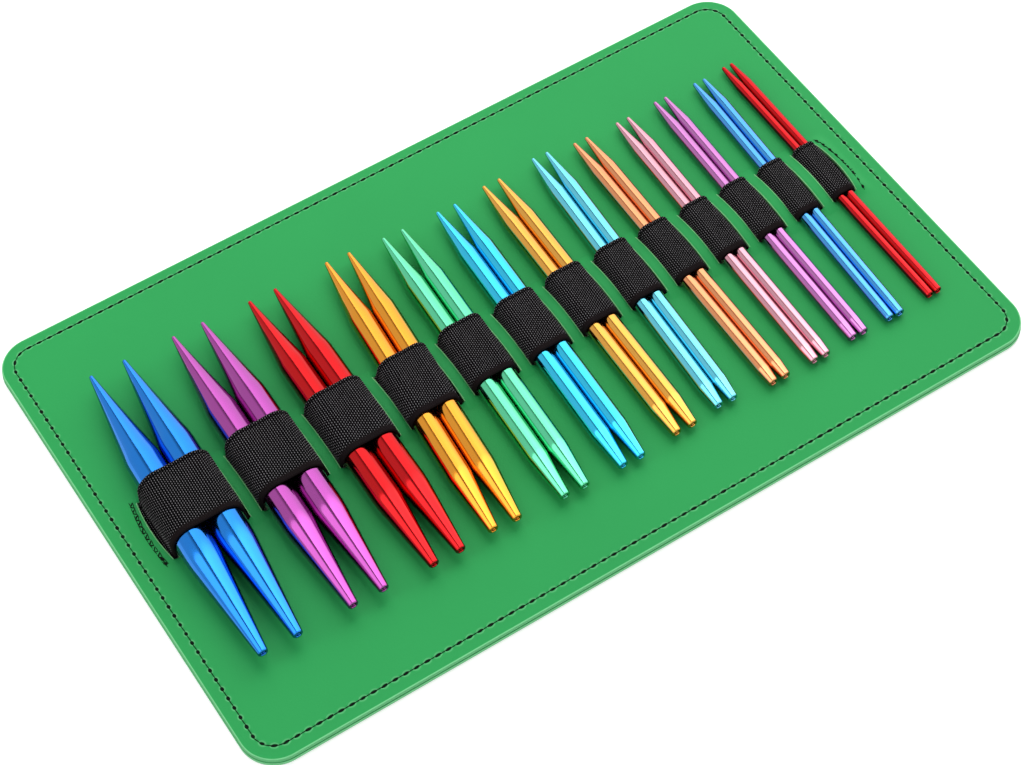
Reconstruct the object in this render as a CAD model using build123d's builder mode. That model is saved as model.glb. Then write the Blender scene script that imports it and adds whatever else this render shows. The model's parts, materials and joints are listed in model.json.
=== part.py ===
from build123d import *
from math import asin, atan2, cos, hypot, radians, sin, sqrt, tan
import os

# Axes: X along the board's length, Y from the needles' tails towards their points, Z up.
# The origin is the middle of the board's underside. All lengths are in millimetres.

# Board of two leatherette sheets sewn round a stiffener
BOARD_LENGTH = 247.0
BOARD_WIDTH = 152.4
CORNER_RADIUS = 9.5
SHEET = 1.5
STIFFENER = 1.2
STIFFENER_INSET = 6.0
POCKET_CLEARANCE = 0.2
EDGE_ROUNDING = 0.5

# Lockstitch seam round the edge
STITCH_INSET = 3.2
THREAD = 0.5
GROOVE_CLEARANCE = 0.05
TOP_GROOVE_DEPTH = 0.45
BOTTOM_GROOVE_DEPTH = 0.55

# Elastic band woven through slits in the top sheet, one length made here loop by loop
BAND_WIDTH = 20.0
BAND_THICKNESS = 0.9
BAND_SIDE_CLEARANCE = 0.3
LOOP_CLEARANCE = 0.2
LOOP_KNEE = 0.3
SLIT_LENGTH = 21.0
SLIT_CLEARANCE = 0.3
TAB_LENGTH = 3.5
TAB_CLEARANCE = 0.3

# Strips of the top sheet that arch over the band between two loops
STRIP_WIDTH = 3.5
STRIP_CLEARANCE = 0.1
STRIP_RUNOUT = 3.5
ROW_OFFSET = -0.2

# Raised ends of the top sheet over the band's two sewn tabs
PAD_SLOPE = 60.0
PAD_RUNOUT = 2.0
PAD_TRIM = 4.0
ANCHOR_SETBACK = 2.0
ANCHOR_LENGTH = 22.6
ANCHOR_PROUD = 0.15

# Needles: one length, and a long taper at each end
NEEDLE_LENGTH = 101.6
PAIR_GAP = 0.1
BED_CLEARANCE = 0.15
POINT_RATIO = 3.2
NOSE_RADIUS = 0.6
SHOULDER_RADIUS = 60.0
TAIL_WALL = 0.7
TAIL_STEP = 0.1
TAIL_ANGLE = 6.0
TAIL_MIN_LENGTH = 5.0
TAIL_CHAMFER = 0.2
# The line where a turned surface closes, kept underneath, out of sight
SEAM_ANGLE = -110.0

# Tapped hole in each tail, at the drill's size for an M2 thread
HOLE_RADIUS = 0.8
HOLE_DEPTH = 6.0

# Pairs from left to right: name, diameter, lean of the points to +X in degrees,
# and the place of the pair's middle along Y
PAIRS = [
    ("10_0", 10.0, 1.6, 0.1),
    ("9_0", 9.0, 1.0, -0.3),
    ("8_0", 8.0, 0.9, -1.1),
    ("7_0", 7.0, 4.5, -0.8),
    ("6_0", 6.0, 2.5, -2.0),
    ("5_5", 5.5, 2.3, -2.4),
    ("5_0", 5.0, 1.3, -1.5),
    ("4_5", 4.5, 3.0, -0.5),
    ("4_0", 4.0, 1.0, -2.3),
    ("3_75", 3.75, 1.6, -2.6),
    ("3_5", 3.5, 1.8, -2.1),
    ("3_25", 3.25, 2.6, -2.5),
    ("2_75", 2.75, 0.7, -2.0),
]

# Heights
STIFFENER_BOTTOM = SHEET - STIFFENER / 2
STIFFENER_TOP = SHEET + STIFFENER / 2
COVER_TOP = 2 * SHEET
BAND_TOP = STIFFENER_TOP + BAND_THICKNESS
PAD_LIFT = BAND_THICKNESS + STRIP_CLEARANCE
PAD_TOP = COVER_TOP + PAD_LIFT

# The strips are arcs whose undersides just clear the band's two edges
HALF_BAND = BAND_WIDTH / 2
TUNNEL_HALF = HALF_BAND + BAND_SIDE_CLEARANCE
ARCH_HALF = HALF_BAND + STRIP_RUNOUT
ARCH_DROP = (ARCH_HALF**2 - HALF_BAND**2 - PAD_LIFT**2) / (2 * PAD_LIFT)
ARCH_RISE = sqrt(ARCH_HALF**2 + ARCH_DROP**2) - ARCH_DROP


def leg_half(diameter):
    """Distance from a loop's middle to the outer face of its leg, down in the slit."""
    return diameter + PAIR_GAP / 2 + LOOP_CLEARANCE + BAND_THICKNESS


def slit_half(diameter):
    """Distance from a loop's middle to the outer edge of its slit."""
    return leg_half(diameter) + SLIT_CLEARANCE


def pair_middles():
    """Middle of each loop along X, with a strip of the top sheet between two loops."""
    slits = [slit_half(diameter) for _, diameter, _, _ in PAIRS]
    row_length = 2 * sum(slits) + STRIP_WIDTH * (len(PAIRS) - 1)
    edge = ROW_OFFSET - row_length / 2
    middles = []
    for half in slits:
        middles.append(edge + half)
        edge += 2 * half + STRIP_WIDTH
    return middles


MIDDLES = pair_middles()
ROW_START = MIDDLES[0] - slit_half(PAIRS[0][1])
ROW_END = MIDDLES[-1] + slit_half(PAIRS[-1][1])
STRIP_STARTS = [middle + slit_half(pair[1]) for pair, middle in zip(PAIRS[:-1], MIDDLES)]


def board_outline(inset, mode=Mode.ADD):
    """The board's rounded rectangle, drawn the given distance in from its edge."""
    radius = max(CORNER_RADIUS - inset, EDGE_ROUNDING)
    RectangleRounded(BOARD_LENGTH - 2 * inset, BOARD_WIDTH - 2 * inset, radius, mode=mode)


def seam_groove():
    """The ring of the sewn seam, wide enough for the thread."""
    half = THREAD / 2 + GROOVE_CLEARANCE
    board_outline(STITCH_INSET - half)
    board_outline(STITCH_INSET + half, mode=Mode.SUBTRACT)


def arch_face(base):
    """Area under a strip's arc that springs from the given height, down to the stiffener."""
    with BuildLine() as outline:
        ThreePointArc((-ARCH_HALF, base), (0, base + ARCH_RISE), (ARCH_HALF, base))
        if base > STIFFENER_TOP:
            Polyline(
                (ARCH_HALF, base),
                (ARCH_HALF, STIFFENER_TOP),
                (-ARCH_HALF, STIFFENER_TOP),
                (-ARCH_HALF, base),
            )
        else:
            Line((ARCH_HALF, base), (-ARCH_HALF, base))
    make_face(outline.edges())


def box_between(low, high, mode=Mode.ADD):
    """A box from its lowest to its highest corner."""
    middle = [(a + b) / 2 for a, b in zip(low, high)]
    size = [b - a for a, b in zip(low, high)]
    with Locations(tuple(middle)):
        Box(*size, mode=mode)


# Back cover: the lower leatherette sheet, with half of the stiffener's pocket
with BuildPart() as back_cover:
    with BuildSketch(Plane.XY):
        board_outline(0)
    extrude(amount=SHEET)
    fillet(back_cover.edges().group_by(Axis.Z)[0], radius=EDGE_ROUNDING)
    with BuildSketch(Plane.XY.offset(STIFFENER_BOTTOM)):
        board_outline(STIFFENER_INSET - POCKET_CLEARANCE)
    extrude(amount=SHEET - STIFFENER_BOTTOM, mode=Mode.SUBTRACT)
    with BuildSketch(Plane.XY):
        seam_groove()
    extrude(amount=BOTTOM_GROOVE_DEPTH, mode=Mode.SUBTRACT)

# Stiffener: grey board sewn in between the two sheets
with BuildPart() as stiffener_board:
    with BuildSketch(Plane.XY.offset(STIFFENER_BOTTOM)):
        board_outline(STIFFENER_INSET)
    extrude(amount=STIFFENER)

def sheet_opening(start, end):
    """Takes out the top sheet between two places along the row, where a raised part stands."""
    box_between(
        (min(start, end), -ARCH_HALF, STIFFENER_TOP),
        (max(start, end), ARCH_HALF, COVER_TOP),
        mode=Mode.SUBTRACT,
    )


# Top cover: the flat part of the upper sheet, slit for each leg of the band
with BuildPart() as top_cover:
    with BuildSketch(Plane.XY.offset(SHEET)):
        board_outline(0)
    extrude(amount=SHEET)
    fillet(top_cover.edges().group_by(Axis.Z)[-1], radius=EDGE_ROUNDING)
    with BuildSketch(Plane.XY.offset(SHEET)):
        board_outline(STIFFENER_INSET - POCKET_CLEARANCE)
    extrude(amount=STIFFENER_TOP - SHEET, mode=Mode.SUBTRACT)
    with BuildSketch(Plane.XY.offset(COVER_TOP - TOP_GROOVE_DEPTH)):
        seam_groove()
    extrude(amount=TOP_GROOVE_DEPTH, mode=Mode.SUBTRACT)

    # Openings for the raised parts
    for edge, outward in ((ROW_START, -1), (ROW_END, 1)):
        sheet_opening(edge, edge + outward * (TAB_LENGTH + PAD_RUNOUT))
    for strip_start in STRIP_STARTS:
        sheet_opening(strip_start, strip_start + STRIP_WIDTH)

    # Two slits for each loop
    slit_width = BAND_THICKNESS + 2 * SLIT_CLEARANCE
    for (_, diameter, _, _), middle in zip(PAIRS, MIDDLES):
        for outward in (-1, 1):
            edge = middle + outward * slit_half(diameter)
            inner = edge - outward * slit_width
            box_between(
                (min(edge, inner), -SLIT_LENGTH / 2, STIFFENER_TOP),
                (max(edge, inner), SLIT_LENGTH / 2, COVER_TOP),
                mode=Mode.SUBTRACT,
            )

# Bridges: the parts of the upper sheet that rise over the band, as solids of their own
with BuildPart() as cover_bridges:

    # Raised ends over the sewn tabs, cut off square at the row's outer slits
    for edge, outward in ((ROW_START, -1), (ROW_END, 1)):
        inner = edge - outward * PAD_TRIM
        outer = edge + outward * (TAB_LENGTH + PAD_RUNOUT)
        with BuildSketch(Plane.XY.offset(COVER_TOP)):
            with Locations(((inner + outer) / 2, 0)):
                Rectangle(abs(outer - inner), 2 * ARCH_HALF)
        extrude(amount=PAD_LIFT, taper=PAD_SLOPE)
        box_between(
            (min(inner, edge), -ARCH_HALF, COVER_TOP),
            (max(inner, edge), ARCH_HALF, PAD_TOP),
            mode=Mode.SUBTRACT,
        )
        box_between(
            (min(edge, outer), -ARCH_HALF, STIFFENER_TOP),
            (max(edge, outer), ARCH_HALF, COVER_TOP),
        )
        tab_end = edge + outward * (TAB_LENGTH + TAB_CLEARANCE)
        box_between(
            (min(edge, tab_end), -TUNNEL_HALF, STIFFENER_TOP),
            (max(edge, tab_end), TUNNEL_HALF, BAND_TOP + STRIP_CLEARANCE),
            mode=Mode.SUBTRACT,
        )
        seam = edge + outward * ANCHOR_SETBACK
        half = THREAD / 2 + GROOVE_CLEARANCE
        box_between(
            (seam - half, -ANCHOR_LENGTH / 2 - GROOVE_CLEARANCE, BAND_TOP),
            (seam + half, ANCHOR_LENGTH / 2 + GROOVE_CLEARANCE, PAD_TOP),
            mode=Mode.SUBTRACT,
        )

    # Arched strips between neighbouring loops
    for strip_start in STRIP_STARTS:
        with BuildSketch(Plane.YZ.offset(strip_start)):
            arch_face(COVER_TOP)
        extrude(amount=STRIP_WIDTH)
        with BuildSketch(Plane.YZ.offset(strip_start)):
            arch_face(STIFFENER_TOP)
            Rectangle(2 * TUNNEL_HALF, 2 * (STIFFENER_TOP + ARCH_RISE), mode=Mode.INTERSECT)
        extrude(amount=STRIP_WIDTH, mode=Mode.SUBTRACT)


def loop_section(middle, diameter, lean):
    """Edge of one loop: two legs and a top drawn round the pair, shifted sideways by its lean."""
    centre_z = COVER_TOP + BED_CLEARANCE + diameter / 2
    knee_z = COVER_TOP + LOOP_KNEE
    needle_x = (diameter + PAIR_GAP) / 2
    inner_radius = diameter / 2 + LOOP_CLEARANCE
    outer_radius = inner_radius + BAND_THICKNESS
    with BuildLine() as outline:
        for radius, hand in ((outer_radius, 1), (inner_radius, -1)):
            leg = needle_x + radius
            diagonal = radius * cos(radians(45))
            left = middle - hand * needle_x + lean
            right = middle + hand * needle_x + lean
            Polyline(
                (middle - hand * leg, STIFFENER_TOP),
                (middle - hand * leg, knee_z),
                (middle - hand * leg + lean, centre_z),
            )
            ThreePointArc(
                (middle - hand * leg + lean, centre_z),
                (left - hand * diagonal, centre_z + diagonal),
                (left, centre_z + radius),
            )
            Line((left, centre_z + radius), (right, centre_z + radius))
            ThreePointArc(
                (right, centre_z + radius),
                (right + hand * diagonal, centre_z + diagonal),
                (middle + hand * leg + lean, centre_z),
            )
            Polyline(
                (middle + hand * leg + lean, centre_z),
                (middle + hand * leg, knee_z),
                (middle + hand * leg, STIFFENER_TOP),
            )
        for hand in (-1, 1):
            Line(
                (middle + hand * (needle_x + inner_radius), STIFFENER_TOP),
                (middle + hand * (needle_x + outer_radius), STIFFENER_TOP),
            )
    make_face(outline.edges())


def elastic_loop(index):
    """One loop of the band over its pair, with its share of the run under the sheet on each side."""
    _, diameter, lean_angle, _ = PAIRS[index]
    middle = MIDDLES[index]
    half_lean = HALF_BAND * tan(radians(lean_angle))
    run_start = ROW_START - TAB_LENGTH
    if index > 0:
        run_start = STRIP_STARTS[index - 1] + STRIP_WIDTH / 2
    run_end = ROW_END + TAB_LENGTH
    if index < len(STRIP_STARTS):
        run_end = STRIP_STARTS[index] + STRIP_WIDTH / 2
    with BuildPart() as loop:
        with BuildSketch(Plane.XZ.offset(HALF_BAND)):
            loop_section(middle, diameter, -half_lean)
        with BuildSketch(Plane.XZ.offset(-HALF_BAND)):
            loop_section(middle, diameter, half_lean)
        loft(ruled=True)
        box_between(
            (run_start, -HALF_BAND, STIFFENER_TOP),
            (middle - leg_half(diameter), HALF_BAND, BAND_TOP),
        )
        box_between(
            (middle + leg_half(diameter), -HALF_BAND, STIFFENER_TOP),
            (run_end, HALF_BAND, BAND_TOP),
        )
    return loop.part


def seam_ring(height):
    """Thread of the seam as one closed tube at the given height."""
    half_length = BOARD_LENGTH / 2 - STITCH_INSET
    half_width = BOARD_WIDTH / 2 - STITCH_INSET
    corner = CORNER_RADIUS - STITCH_INSET
    with BuildPart() as ring:
        with BuildLine(Plane.XY.offset(height)) as path:
            FilletPolyline(
                (-half_length, -half_width),
                (half_length, -half_width),
                (half_length, half_width),
                (-half_length, half_width),
                radius=corner,
                close=True,
            )
        start = path.wires()[0]
        with BuildSketch(Plane(origin=start @ 0, z_dir=start % 0)):
            Circle(THREAD / 2)
        sweep()
    return ring.part


def anchor_row(edge, outward):
    """Back-stitched row that holds a tab of the band, from the tab to just above the pad."""
    seam = edge + outward * ANCHOR_SETBACK
    with BuildPart() as row:
        box_between(
            (seam - THREAD / 2, -ANCHOR_LENGTH / 2, BAND_TOP),
            (seam + THREAD / 2, ANCHOR_LENGTH / 2, PAD_TOP + ANCHOR_PROUD),
        )
        fillet(row.edges().group_by(Axis.Z)[-1], radius=ANCHOR_PROUD)
    return row.part


def needle(diameter, plane):
    """One needle point along the plane's X, its tapped tail at -X and its nose at +X."""
    radius = diameter / 2
    half_length = NEEDLE_LENGTH / 2
    tail_radius = min(HOLE_RADIUS + TAIL_WALL, radius - TAIL_STEP)
    tail_length = max((radius - tail_radius) / tan(radians(TAIL_ANGLE)), TAIL_MIN_LENGTH)
    point_length = POINT_RATIO * diameter

    # The cone runs from the shoulder to where it is tangent to the rounded nose
    nose_x = half_length - NOSE_RADIUS
    run = point_length - NOSE_RADIUS
    cone_angle = atan2(radius, run) - asin(NOSE_RADIUS / hypot(radius, run))
    tangent = (nose_x + NOSE_RADIUS * sin(cone_angle), NOSE_RADIUS * cos(cone_angle))
    middle_angle = (radians(90) - cone_angle) / 2
    nose_middle = (nose_x + NOSE_RADIUS * cos(middle_angle), NOSE_RADIUS * sin(middle_angle))

    along = Axis(plane.origin, plane.x_dir)
    turned = Plane(plane.origin, x_dir=plane.x_dir, z_dir=plane.z_dir.rotate(along, SEAM_ANGLE))
    with BuildPart() as blank:
        with BuildSketch(turned):
            with BuildLine():
                FilletPolyline(
                    (-half_length, 0),
                    (-half_length, tail_radius - TAIL_CHAMFER),
                    (-half_length + TAIL_CHAMFER, tail_radius),
                    (-half_length + tail_length, radius),
                    (half_length - point_length, radius),
                    tangent,
                    radius=[0, 0, SHOULDER_RADIUS, SHOULDER_RADIUS],
                )
                ThreePointArc(tangent, nose_middle, (half_length, 0))
                Line((half_length, 0), (-half_length, 0))
            make_face()
        revolve(axis=along)
        tail_end = turned.from_local_coords((-half_length, 0, 0))
        mouth = Plane(origin=tail_end, x_dir=turned.y_dir, z_dir=-turned.x_dir)
        with Locations(mouth):
            Hole(HOLE_RADIUS, depth=HOLE_DEPTH)
    return blank.part


def save(shape, name):
    """Label a finished piece and write it as its own STEP file."""
    shape.label = name
    export_step(shape, f"parts/{name}.step")


os.makedirs("parts", exist_ok=True)
save(back_cover.part, "back_cover")
save(stiffener_board.part, "stiffener_board")
save(top_cover.part, "top_cover")
save(cover_bridges.part, "cover_bridges")
save(seam_ring(COVER_TOP - TOP_GROOVE_DEPTH + THREAD / 2), "edge_thread_top")
save(seam_ring(BOTTOM_GROOVE_DEPTH - THREAD / 2), "edge_thread_bottom")
save(anchor_row(ROW_START, -1), "anchor_stitching_left")
save(anchor_row(ROW_END, 1), "anchor_stitching_right")
for index, (size, diameter, lean_angle, middle_y) in enumerate(PAIRS):
    save(elastic_loop(index), f"elastic_loop_{size}mm")
    lean = radians(lean_angle)
    along = Vector(sin(lean), cos(lean), 0)
    across = Vector(cos(lean), -sin(lean), 0)
    pair_centre = Vector(MIDDLES[index], middle_y, COVER_TOP + BED_CLEARANCE + diameter / 2)
    for side, hand in (("left", -1), ("right", 1)):
        centre = pair_centre + across * (hand * (diameter + PAIR_GAP) / 2)
        plane = Plane(origin=centre, x_dir=along, z_dir=(0, 0, 1))
        save(needle(diameter, plane), f"needle_{size}mm_{side}")
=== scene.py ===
"""Dresses the knitting needle set: leatherette holder board, woven elastic and anodised needle points."""

import json
import math

import bmesh
import bpy
import numpy as np
from mathutils import Matrix, Vector


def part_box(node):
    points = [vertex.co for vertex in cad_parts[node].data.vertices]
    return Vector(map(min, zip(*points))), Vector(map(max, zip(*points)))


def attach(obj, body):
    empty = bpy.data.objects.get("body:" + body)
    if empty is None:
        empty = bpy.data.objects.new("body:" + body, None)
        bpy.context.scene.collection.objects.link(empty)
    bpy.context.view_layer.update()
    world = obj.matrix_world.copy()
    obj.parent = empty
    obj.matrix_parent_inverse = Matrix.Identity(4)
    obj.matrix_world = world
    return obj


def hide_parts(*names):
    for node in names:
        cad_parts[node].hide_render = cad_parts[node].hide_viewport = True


bl_info = {
    "name": "Knitting needle set",
    "version": (1, 0, 0),
    "blender": (4, 5, 0),
    "location": "3D View > Sidebar > Needle set",
    "description": "Builds the looks of a board of knitting needle points round its fixed frame",
    "category": "Object",
}

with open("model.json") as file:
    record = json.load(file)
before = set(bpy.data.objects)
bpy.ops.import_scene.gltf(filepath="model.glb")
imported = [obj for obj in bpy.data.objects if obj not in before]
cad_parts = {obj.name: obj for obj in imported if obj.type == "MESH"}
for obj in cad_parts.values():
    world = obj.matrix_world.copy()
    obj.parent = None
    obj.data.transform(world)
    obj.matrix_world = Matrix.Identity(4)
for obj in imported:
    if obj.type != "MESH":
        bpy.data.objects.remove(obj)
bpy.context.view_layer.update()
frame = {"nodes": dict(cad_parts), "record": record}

MM = 0.001
BOARD_BODY = "board"

# Pairs from thick to thin: size in the nodes' names, name and colour of the dye, and the clear oxide's share
PAIRS = [
    ("10_0", "blue", "#0371C9", 0.35),
    ("9_0", "magenta", "#96348E", 0.6),
    ("8_0", "red", "#B2030A", 0.22),
    ("7_0", "amber", "#D4890C", 0.5),
    ("6_0", "mint", "#47BF8C", 0.8),
    ("5_5", "sky", "#03AED5", 0.7),
    ("5_0", "gold", "#CF922A", 0.7),
    ("4_5", "pale_cyan", "#4FB7CE", 0.9),
    ("4_0", "copper", "#CD814D", 0.8),
    ("3_75", "rose", "#C18493", 0.9),
    ("3_5", "violet", "#A65DA1", 0.9),
    ("3_25", "cobalt", "#2F88C9", 0.7),
    ("2_75", "crimson", "#AF030B", 0.22),
]

# The board and its seam, as the frame has them
(BOARD_LOW, BOARD_HIGH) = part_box("top_cover")
COVER_TOP = BOARD_HIGH.z
SHEET = BOARD_HIGH.z - BOARD_LOW.z
HALF_LENGTH = BOARD_HIGH.x
HALF_WIDTH = BOARD_HIGH.y
CORNER_RADIUS = 9.5 * MM
# How far the upper and lower sheet's soft edges stand out past the clean outline
PROUD = (0.55 * MM, 0.7 * MM)
SEAM_INSET = 3.2 * MM
# The sheets are cut a little off their seam, towards the front
EDGE_SHIFT = 0.4 * MM
POCKET_INSET = 5.8 * MM
# Radii of the rolls where the two sheets meet, upper and lower, and of the one under the board
MEETING_ROLLS = (0.3 * MM, 0.22 * MM)
FOOT_ROLL = 0.45 * MM
STIFFENER_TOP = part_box("stiffener_board")[1].z

# Points to a stitch of the seam in the upper sheet, the lower sheet and the thread's own line
TOP_PARTS, BACK_PARTS, SEAM_PARTS = 12, 6, 8
# The seam's groove: how steeply it falls off, its share of the depth between two holes with what a hole adds,
# and how far a hole reaches, in the upper sheet as a length and in the lower one as a share of a stitch
GROOVE_FALL = 2.2
TOP_DIP, BACK_DIP = (0.5, 0.9), (0.55, 0.75)
HOLE_REACH = 0.42 * MM
BACK_HOLE_SHARE = 0.13
# The ring of painted highlight round each hole of the seam, longer than wide, and more so along the board
HALO_RADIUS = 0.62 * MM
HALO_WIDTH = 0.13 * MM
HALO_STRENGTH = 0.42
HALO_STRETCH = (1.35, 0.35)
# How strong the painted highlight on the lower sheet's outer edge is
BACK_EDGE_PALE = 0.85

# The row of loops, strips and raised ends
BAND_HALF = 10.0 * MM
BAND_THICKNESS = 0.9 * MM
LOOP_CLEARANCE = 0.2 * MM
SLIT_CLEARANCE = 0.3 * MM
SLIT_HALF = 10.5 * MM
ARCH_HALF = 13.5 * MM
PAIR_GAP = 0.1 * MM
ARCH_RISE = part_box("cover_bridges")[1].z - COVER_TOP
# The raised ends: length, height on the left and right, the bow of their free edges and where it fades out,
# how far they stay level lengthwise, and crosswise with the width of the slope beyond that
END_LENGTH = 5.5 * MM
END_RISES = (1.0 * MM, 1.6 * MM)
END_BOW = 1.0 * MM
BOW_FADE = 4.5 * MM
END_MARGIN = 0.4 * MM
END_FLAT = 1.5 * MM
END_SHOULDER = (8.5 * MM, 5.0 * MM)
END_ARCH_SHARE = 0.45
SLIT_FADE = 1.5 * MM
# The pale lips on the right and the left of each slit, the cut edge's pale colour carried onto the top face
# as a painted highlight, and how far they are drawn down
LIP = (0.22 * MM, 0.32 * MM)
LIP_DROP = 0.1 * MM
# How far the elastic's front and back edges are pushed out over each pair, from thick to thin, in millimetres
BULGES = [
    (0.55, 0.3), (0.95, 0.0), (1.8, -0.55), (1.5, -0.6), (0.75, 0.0), (1.15, -0.3), (0.75, 0.15),
    (0.7, 0.25), (0.8, 0.2), (0.8, 0.15), (1.05, -0.1), (0.8, 0.0), (0.8, 0.0),
]
# The plain woven front edge, and the sunk line beside the back edge, where the band's mesh is finer
SELVAGE = 1.75 * MM
SELVAGE_FADE = 0.3 * MM
LINE_INSET = 1.3 * MM
LINE_WIDTH = 0.22 * MM
FINE_ROWS = (2.0 * MM, 1.75 * MM)
# Radii of the band's edges and of its turns at the slits, and how far it sags between two thick needles
BAND_ROUND = 0.35 * MM
BAND_TURN = 0.7 * MM
BAND_SAG = 0.22 * MM
FULL_SAG_RADIUS = 4.0 * MM
BULGE_START = 0.3 * MM
# The elastic hugs the needle points, which leaves the strips a little to the right of it
HUG = 0.22 * MM
STRIP_SHIFT = 0.4 * MM
LEATHER_SKIN = 0.9 * MM

# Needle points: the point's length in diameters, its nose, the rounding of both shoulders on the thickest
# pair, the tail's wall, step, slope, length and chamfer, and the mesh
POINT_RATIO = 3.2
NOSE_RADIUS = 0.6 * MM
POINT_SHOULDER = 26.0 * MM
TAIL_SHOULDER = 60.0 * MM
THICKEST = 5.0 * MM
TAIL_WALL = 0.7 * MM
TAIL_STEP = 0.1 * MM
TAIL_SLOPE = math.tan(math.radians(6.0))
TAIL_MIN_LENGTH = 5.0 * MM
TAIL_CHAMFER = 0.2 * MM
NEEDLE_SIDES = 64
NEEDLE_CREASE = 32.0
THREADED_SHARE = 0.6
DRILL_POINT = 0.3 * MM

# The seam's thread: its share of a stitch, width and dip, and where it and its knots lie on the two faces
THREAD_SHARE = 0.97
THREAD_WIDTH = 0.25 * MM
THREAD_DIP = 0.12 * MM
TOP_THREAD_SINK = 0.07 * MM
BACK_THREAD_LEVEL = 0.24 * MM
KNOT_SINK = 0.01 * MM
# Stitches: length, width, dip and flatness of each shape, and the rows that anchor the band's ends,
# each with its shape, its shift and two ends in millimetres, its stitches, their turn and its spread
STITCHES = {
    "knot": (1.1 * MM, 0.95 * MM, 0.0, 0.3),
    "tack": (1.4 * MM, 0.36 * MM, 0.05 * MM, 0.5),
    "link": (2.2 * MM, 0.24 * MM, 0.06 * MM, 1.0),
    "blob": (1.0 * MM, 0.8 * MM, 0.0, 0.4),
}
ANCHOR_ROWS = {
    "left": [
        ("link", 0.4, -10.6, 10.6, 10, 0.08, 0.1),
        ("link", -0.4, -9.8, 10.1, 10, -0.08, 0.1),
        ("tack", 0.0, -10.6, 9.5, 10, 0.95, 0.2),
        ("tack", 0.0, -9.5, 10.6, 10, -0.6, 0.2),
        ("blob", 0.05, -10.6, -9.0, 2, 0.0, 0.3),
    ],
    "right": [
        ("link", 0.0, -10.6, 10.6, 10, -0.05, 0.1),
        ("blob", 0.05, -10.6, 10.6, 9, 0.12, 0.3),
        ("tack", -0.1, -1.0, 9.6, 5, 0.4, 0.3),
        ("tack", 0.1, -5.4, -3.8, 3, 1.1, 0.4),
    ],
}
# Where those rows lie: their half length, how far out they are in front and behind, and how far they bow
ANCHOR_HALF = 11.0 * MM
ANCHOR_AWAY = (2.4 * MM, 1.5 * MM)
ANCHOR_BOW = 0.9 * MM
ANCHOR_LIFT = 0.06 * MM

# Sizes of the patterns in the materials: clouds and swells of the leatherette, one ply of the thread, turning
# marks and clouds in the dye of the aluminium, and pulp of the grey board. Real turning marks are too fine to
# show, so these are drawn as coarse as they need to be
LEATHER_CLOUD = 55.56 * MM
LEATHER_SWELL = 18.18 * MM
THREAD_PLY = 0.2381 * MM
TURNING_MARK = 1.111 * MM
DYE_CLOUD = 16.67 * MM
PAPER_PULP = 1.4286 * MM

# The floor lies a hair below the board, so that the two surfaces stay apart
FLOOR_DROP = 0.05 * MM
FLOOR_REACH = 3.0
# Cards of light: X and Z of the high and the low edge, and Y of both ends
KEY_CARD = ((-0.1, 1.58), (1.62, 0.04), 0.1, 2.1)
FRAME_CARD = ((-0.62, 1.515), (-0.1, 1.58), 0.1, 2.1)
TOP_CARD = ((-0.46, 1.18), (-1.2, 0.5), 0.0, 0.5)
# The strip of light in front: its half length, and its Y, low Z and high Z
FRONT_CARD = (1.2, -1.3, 0.02, 0.6)

# Camera of the photograph, in the row frame
CAMERA_PLACE = Vector((-0.21035, -0.35290, 0.57388))
CAMERA_RIGHT = Vector((0.840992, -0.540526, -0.023767))
CAMERA_UP = Vector((0.455505, 0.683637, 0.570224))
CAMERA_LENS = 88.72
SENSOR_WIDTH = 36.0


def linear(hex_colour):
    """An sRGB hex colour as linear red, green, blue and alpha."""
    parts = [int(hex_colour[i:i + 2], 16) / 255 for i in (1, 3, 5)]
    return [p / 12.92 if p <= 0.04045 else ((p + 0.055) / 1.055) ** 2.4 for p in parts] + [1.0]


def darker(colour, share):
    """A linear colour with its light cut to a share."""
    return [share * part for part in colour[:3]] + [1.0]


def size_property(name, description, default, low, high):
    """A length that a user may change."""
    return bpy.props.FloatProperty(
        name=name, description=description, default=default, min=low, max=high,
        unit="LENGTH", subtype="DISTANCE", precision=5,
    )


def share_property(name, description, default, high=1.0):
    """A plain number from nought up that a user may change."""
    return bpy.props.FloatProperty(name=name, description=description, default=default, min=0.0, max=high)


def colour_property(name, description, default):
    """A colour that a user may change."""
    return bpy.props.FloatVectorProperty(
        name=name, description=description, default=linear(default), size=4,
        min=0.0, max=1.0, subtype="COLOR",
    )


class LeatherSettings(bpy.types.PropertyGroup):
    """Sizes and colours of the sewn leatherette."""

    stitch_pitch: size_property(
        "Stitch length", "Length of one lockstitch of the edge seam", 3.2 * MM, 1 * MM, 8 * MM,
    )
    seam_depth: size_property("Seam depth", "How far the seam draws the sheet down", 0.28 * MM, 0.0, 0.6 * MM)
    seam_width: size_property(
        "Seam width", "Half width of the groove that the seam makes", 0.55 * MM, 0.1 * MM, 2 * MM,
    )
    edge_roll: size_property(
        "Edge roll", "Radius of the sheet's turned upper edge", 0.3 * MM, 0.1 * MM, 1.2 * MM,
    )
    grain: size_property("Grain", "Width of one pebble of the embossed grain", 0.6 * MM, 0.1 * MM, 3 * MM)
    colour: colour_property("Leatherette", "Colour of the coated face", "#2C9D53")
    # Painted highlight: a paler green mixed in on the rolled edges, their side faces and rings round the seam
    # holes
    painted_edge_light_colour: colour_property("Stretched face", "Colour of the coating drawn thin", "#8ADFA0")
    cut_colour: colour_property("Cut edge", "Colour where the sheet is cut through", "#84CF8C")
    thread_colour: colour_property("Thread", "Colour of the sewing thread", "#10381C")
    # Painted shade: the knots and the anchor rows' tacks and blobs are coloured near-black for the shade down
    # in the needle holes
    hole_shade_colour: colour_property("Knots", "Colour of the thread down in the needle's holes", "#04120A")


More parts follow.
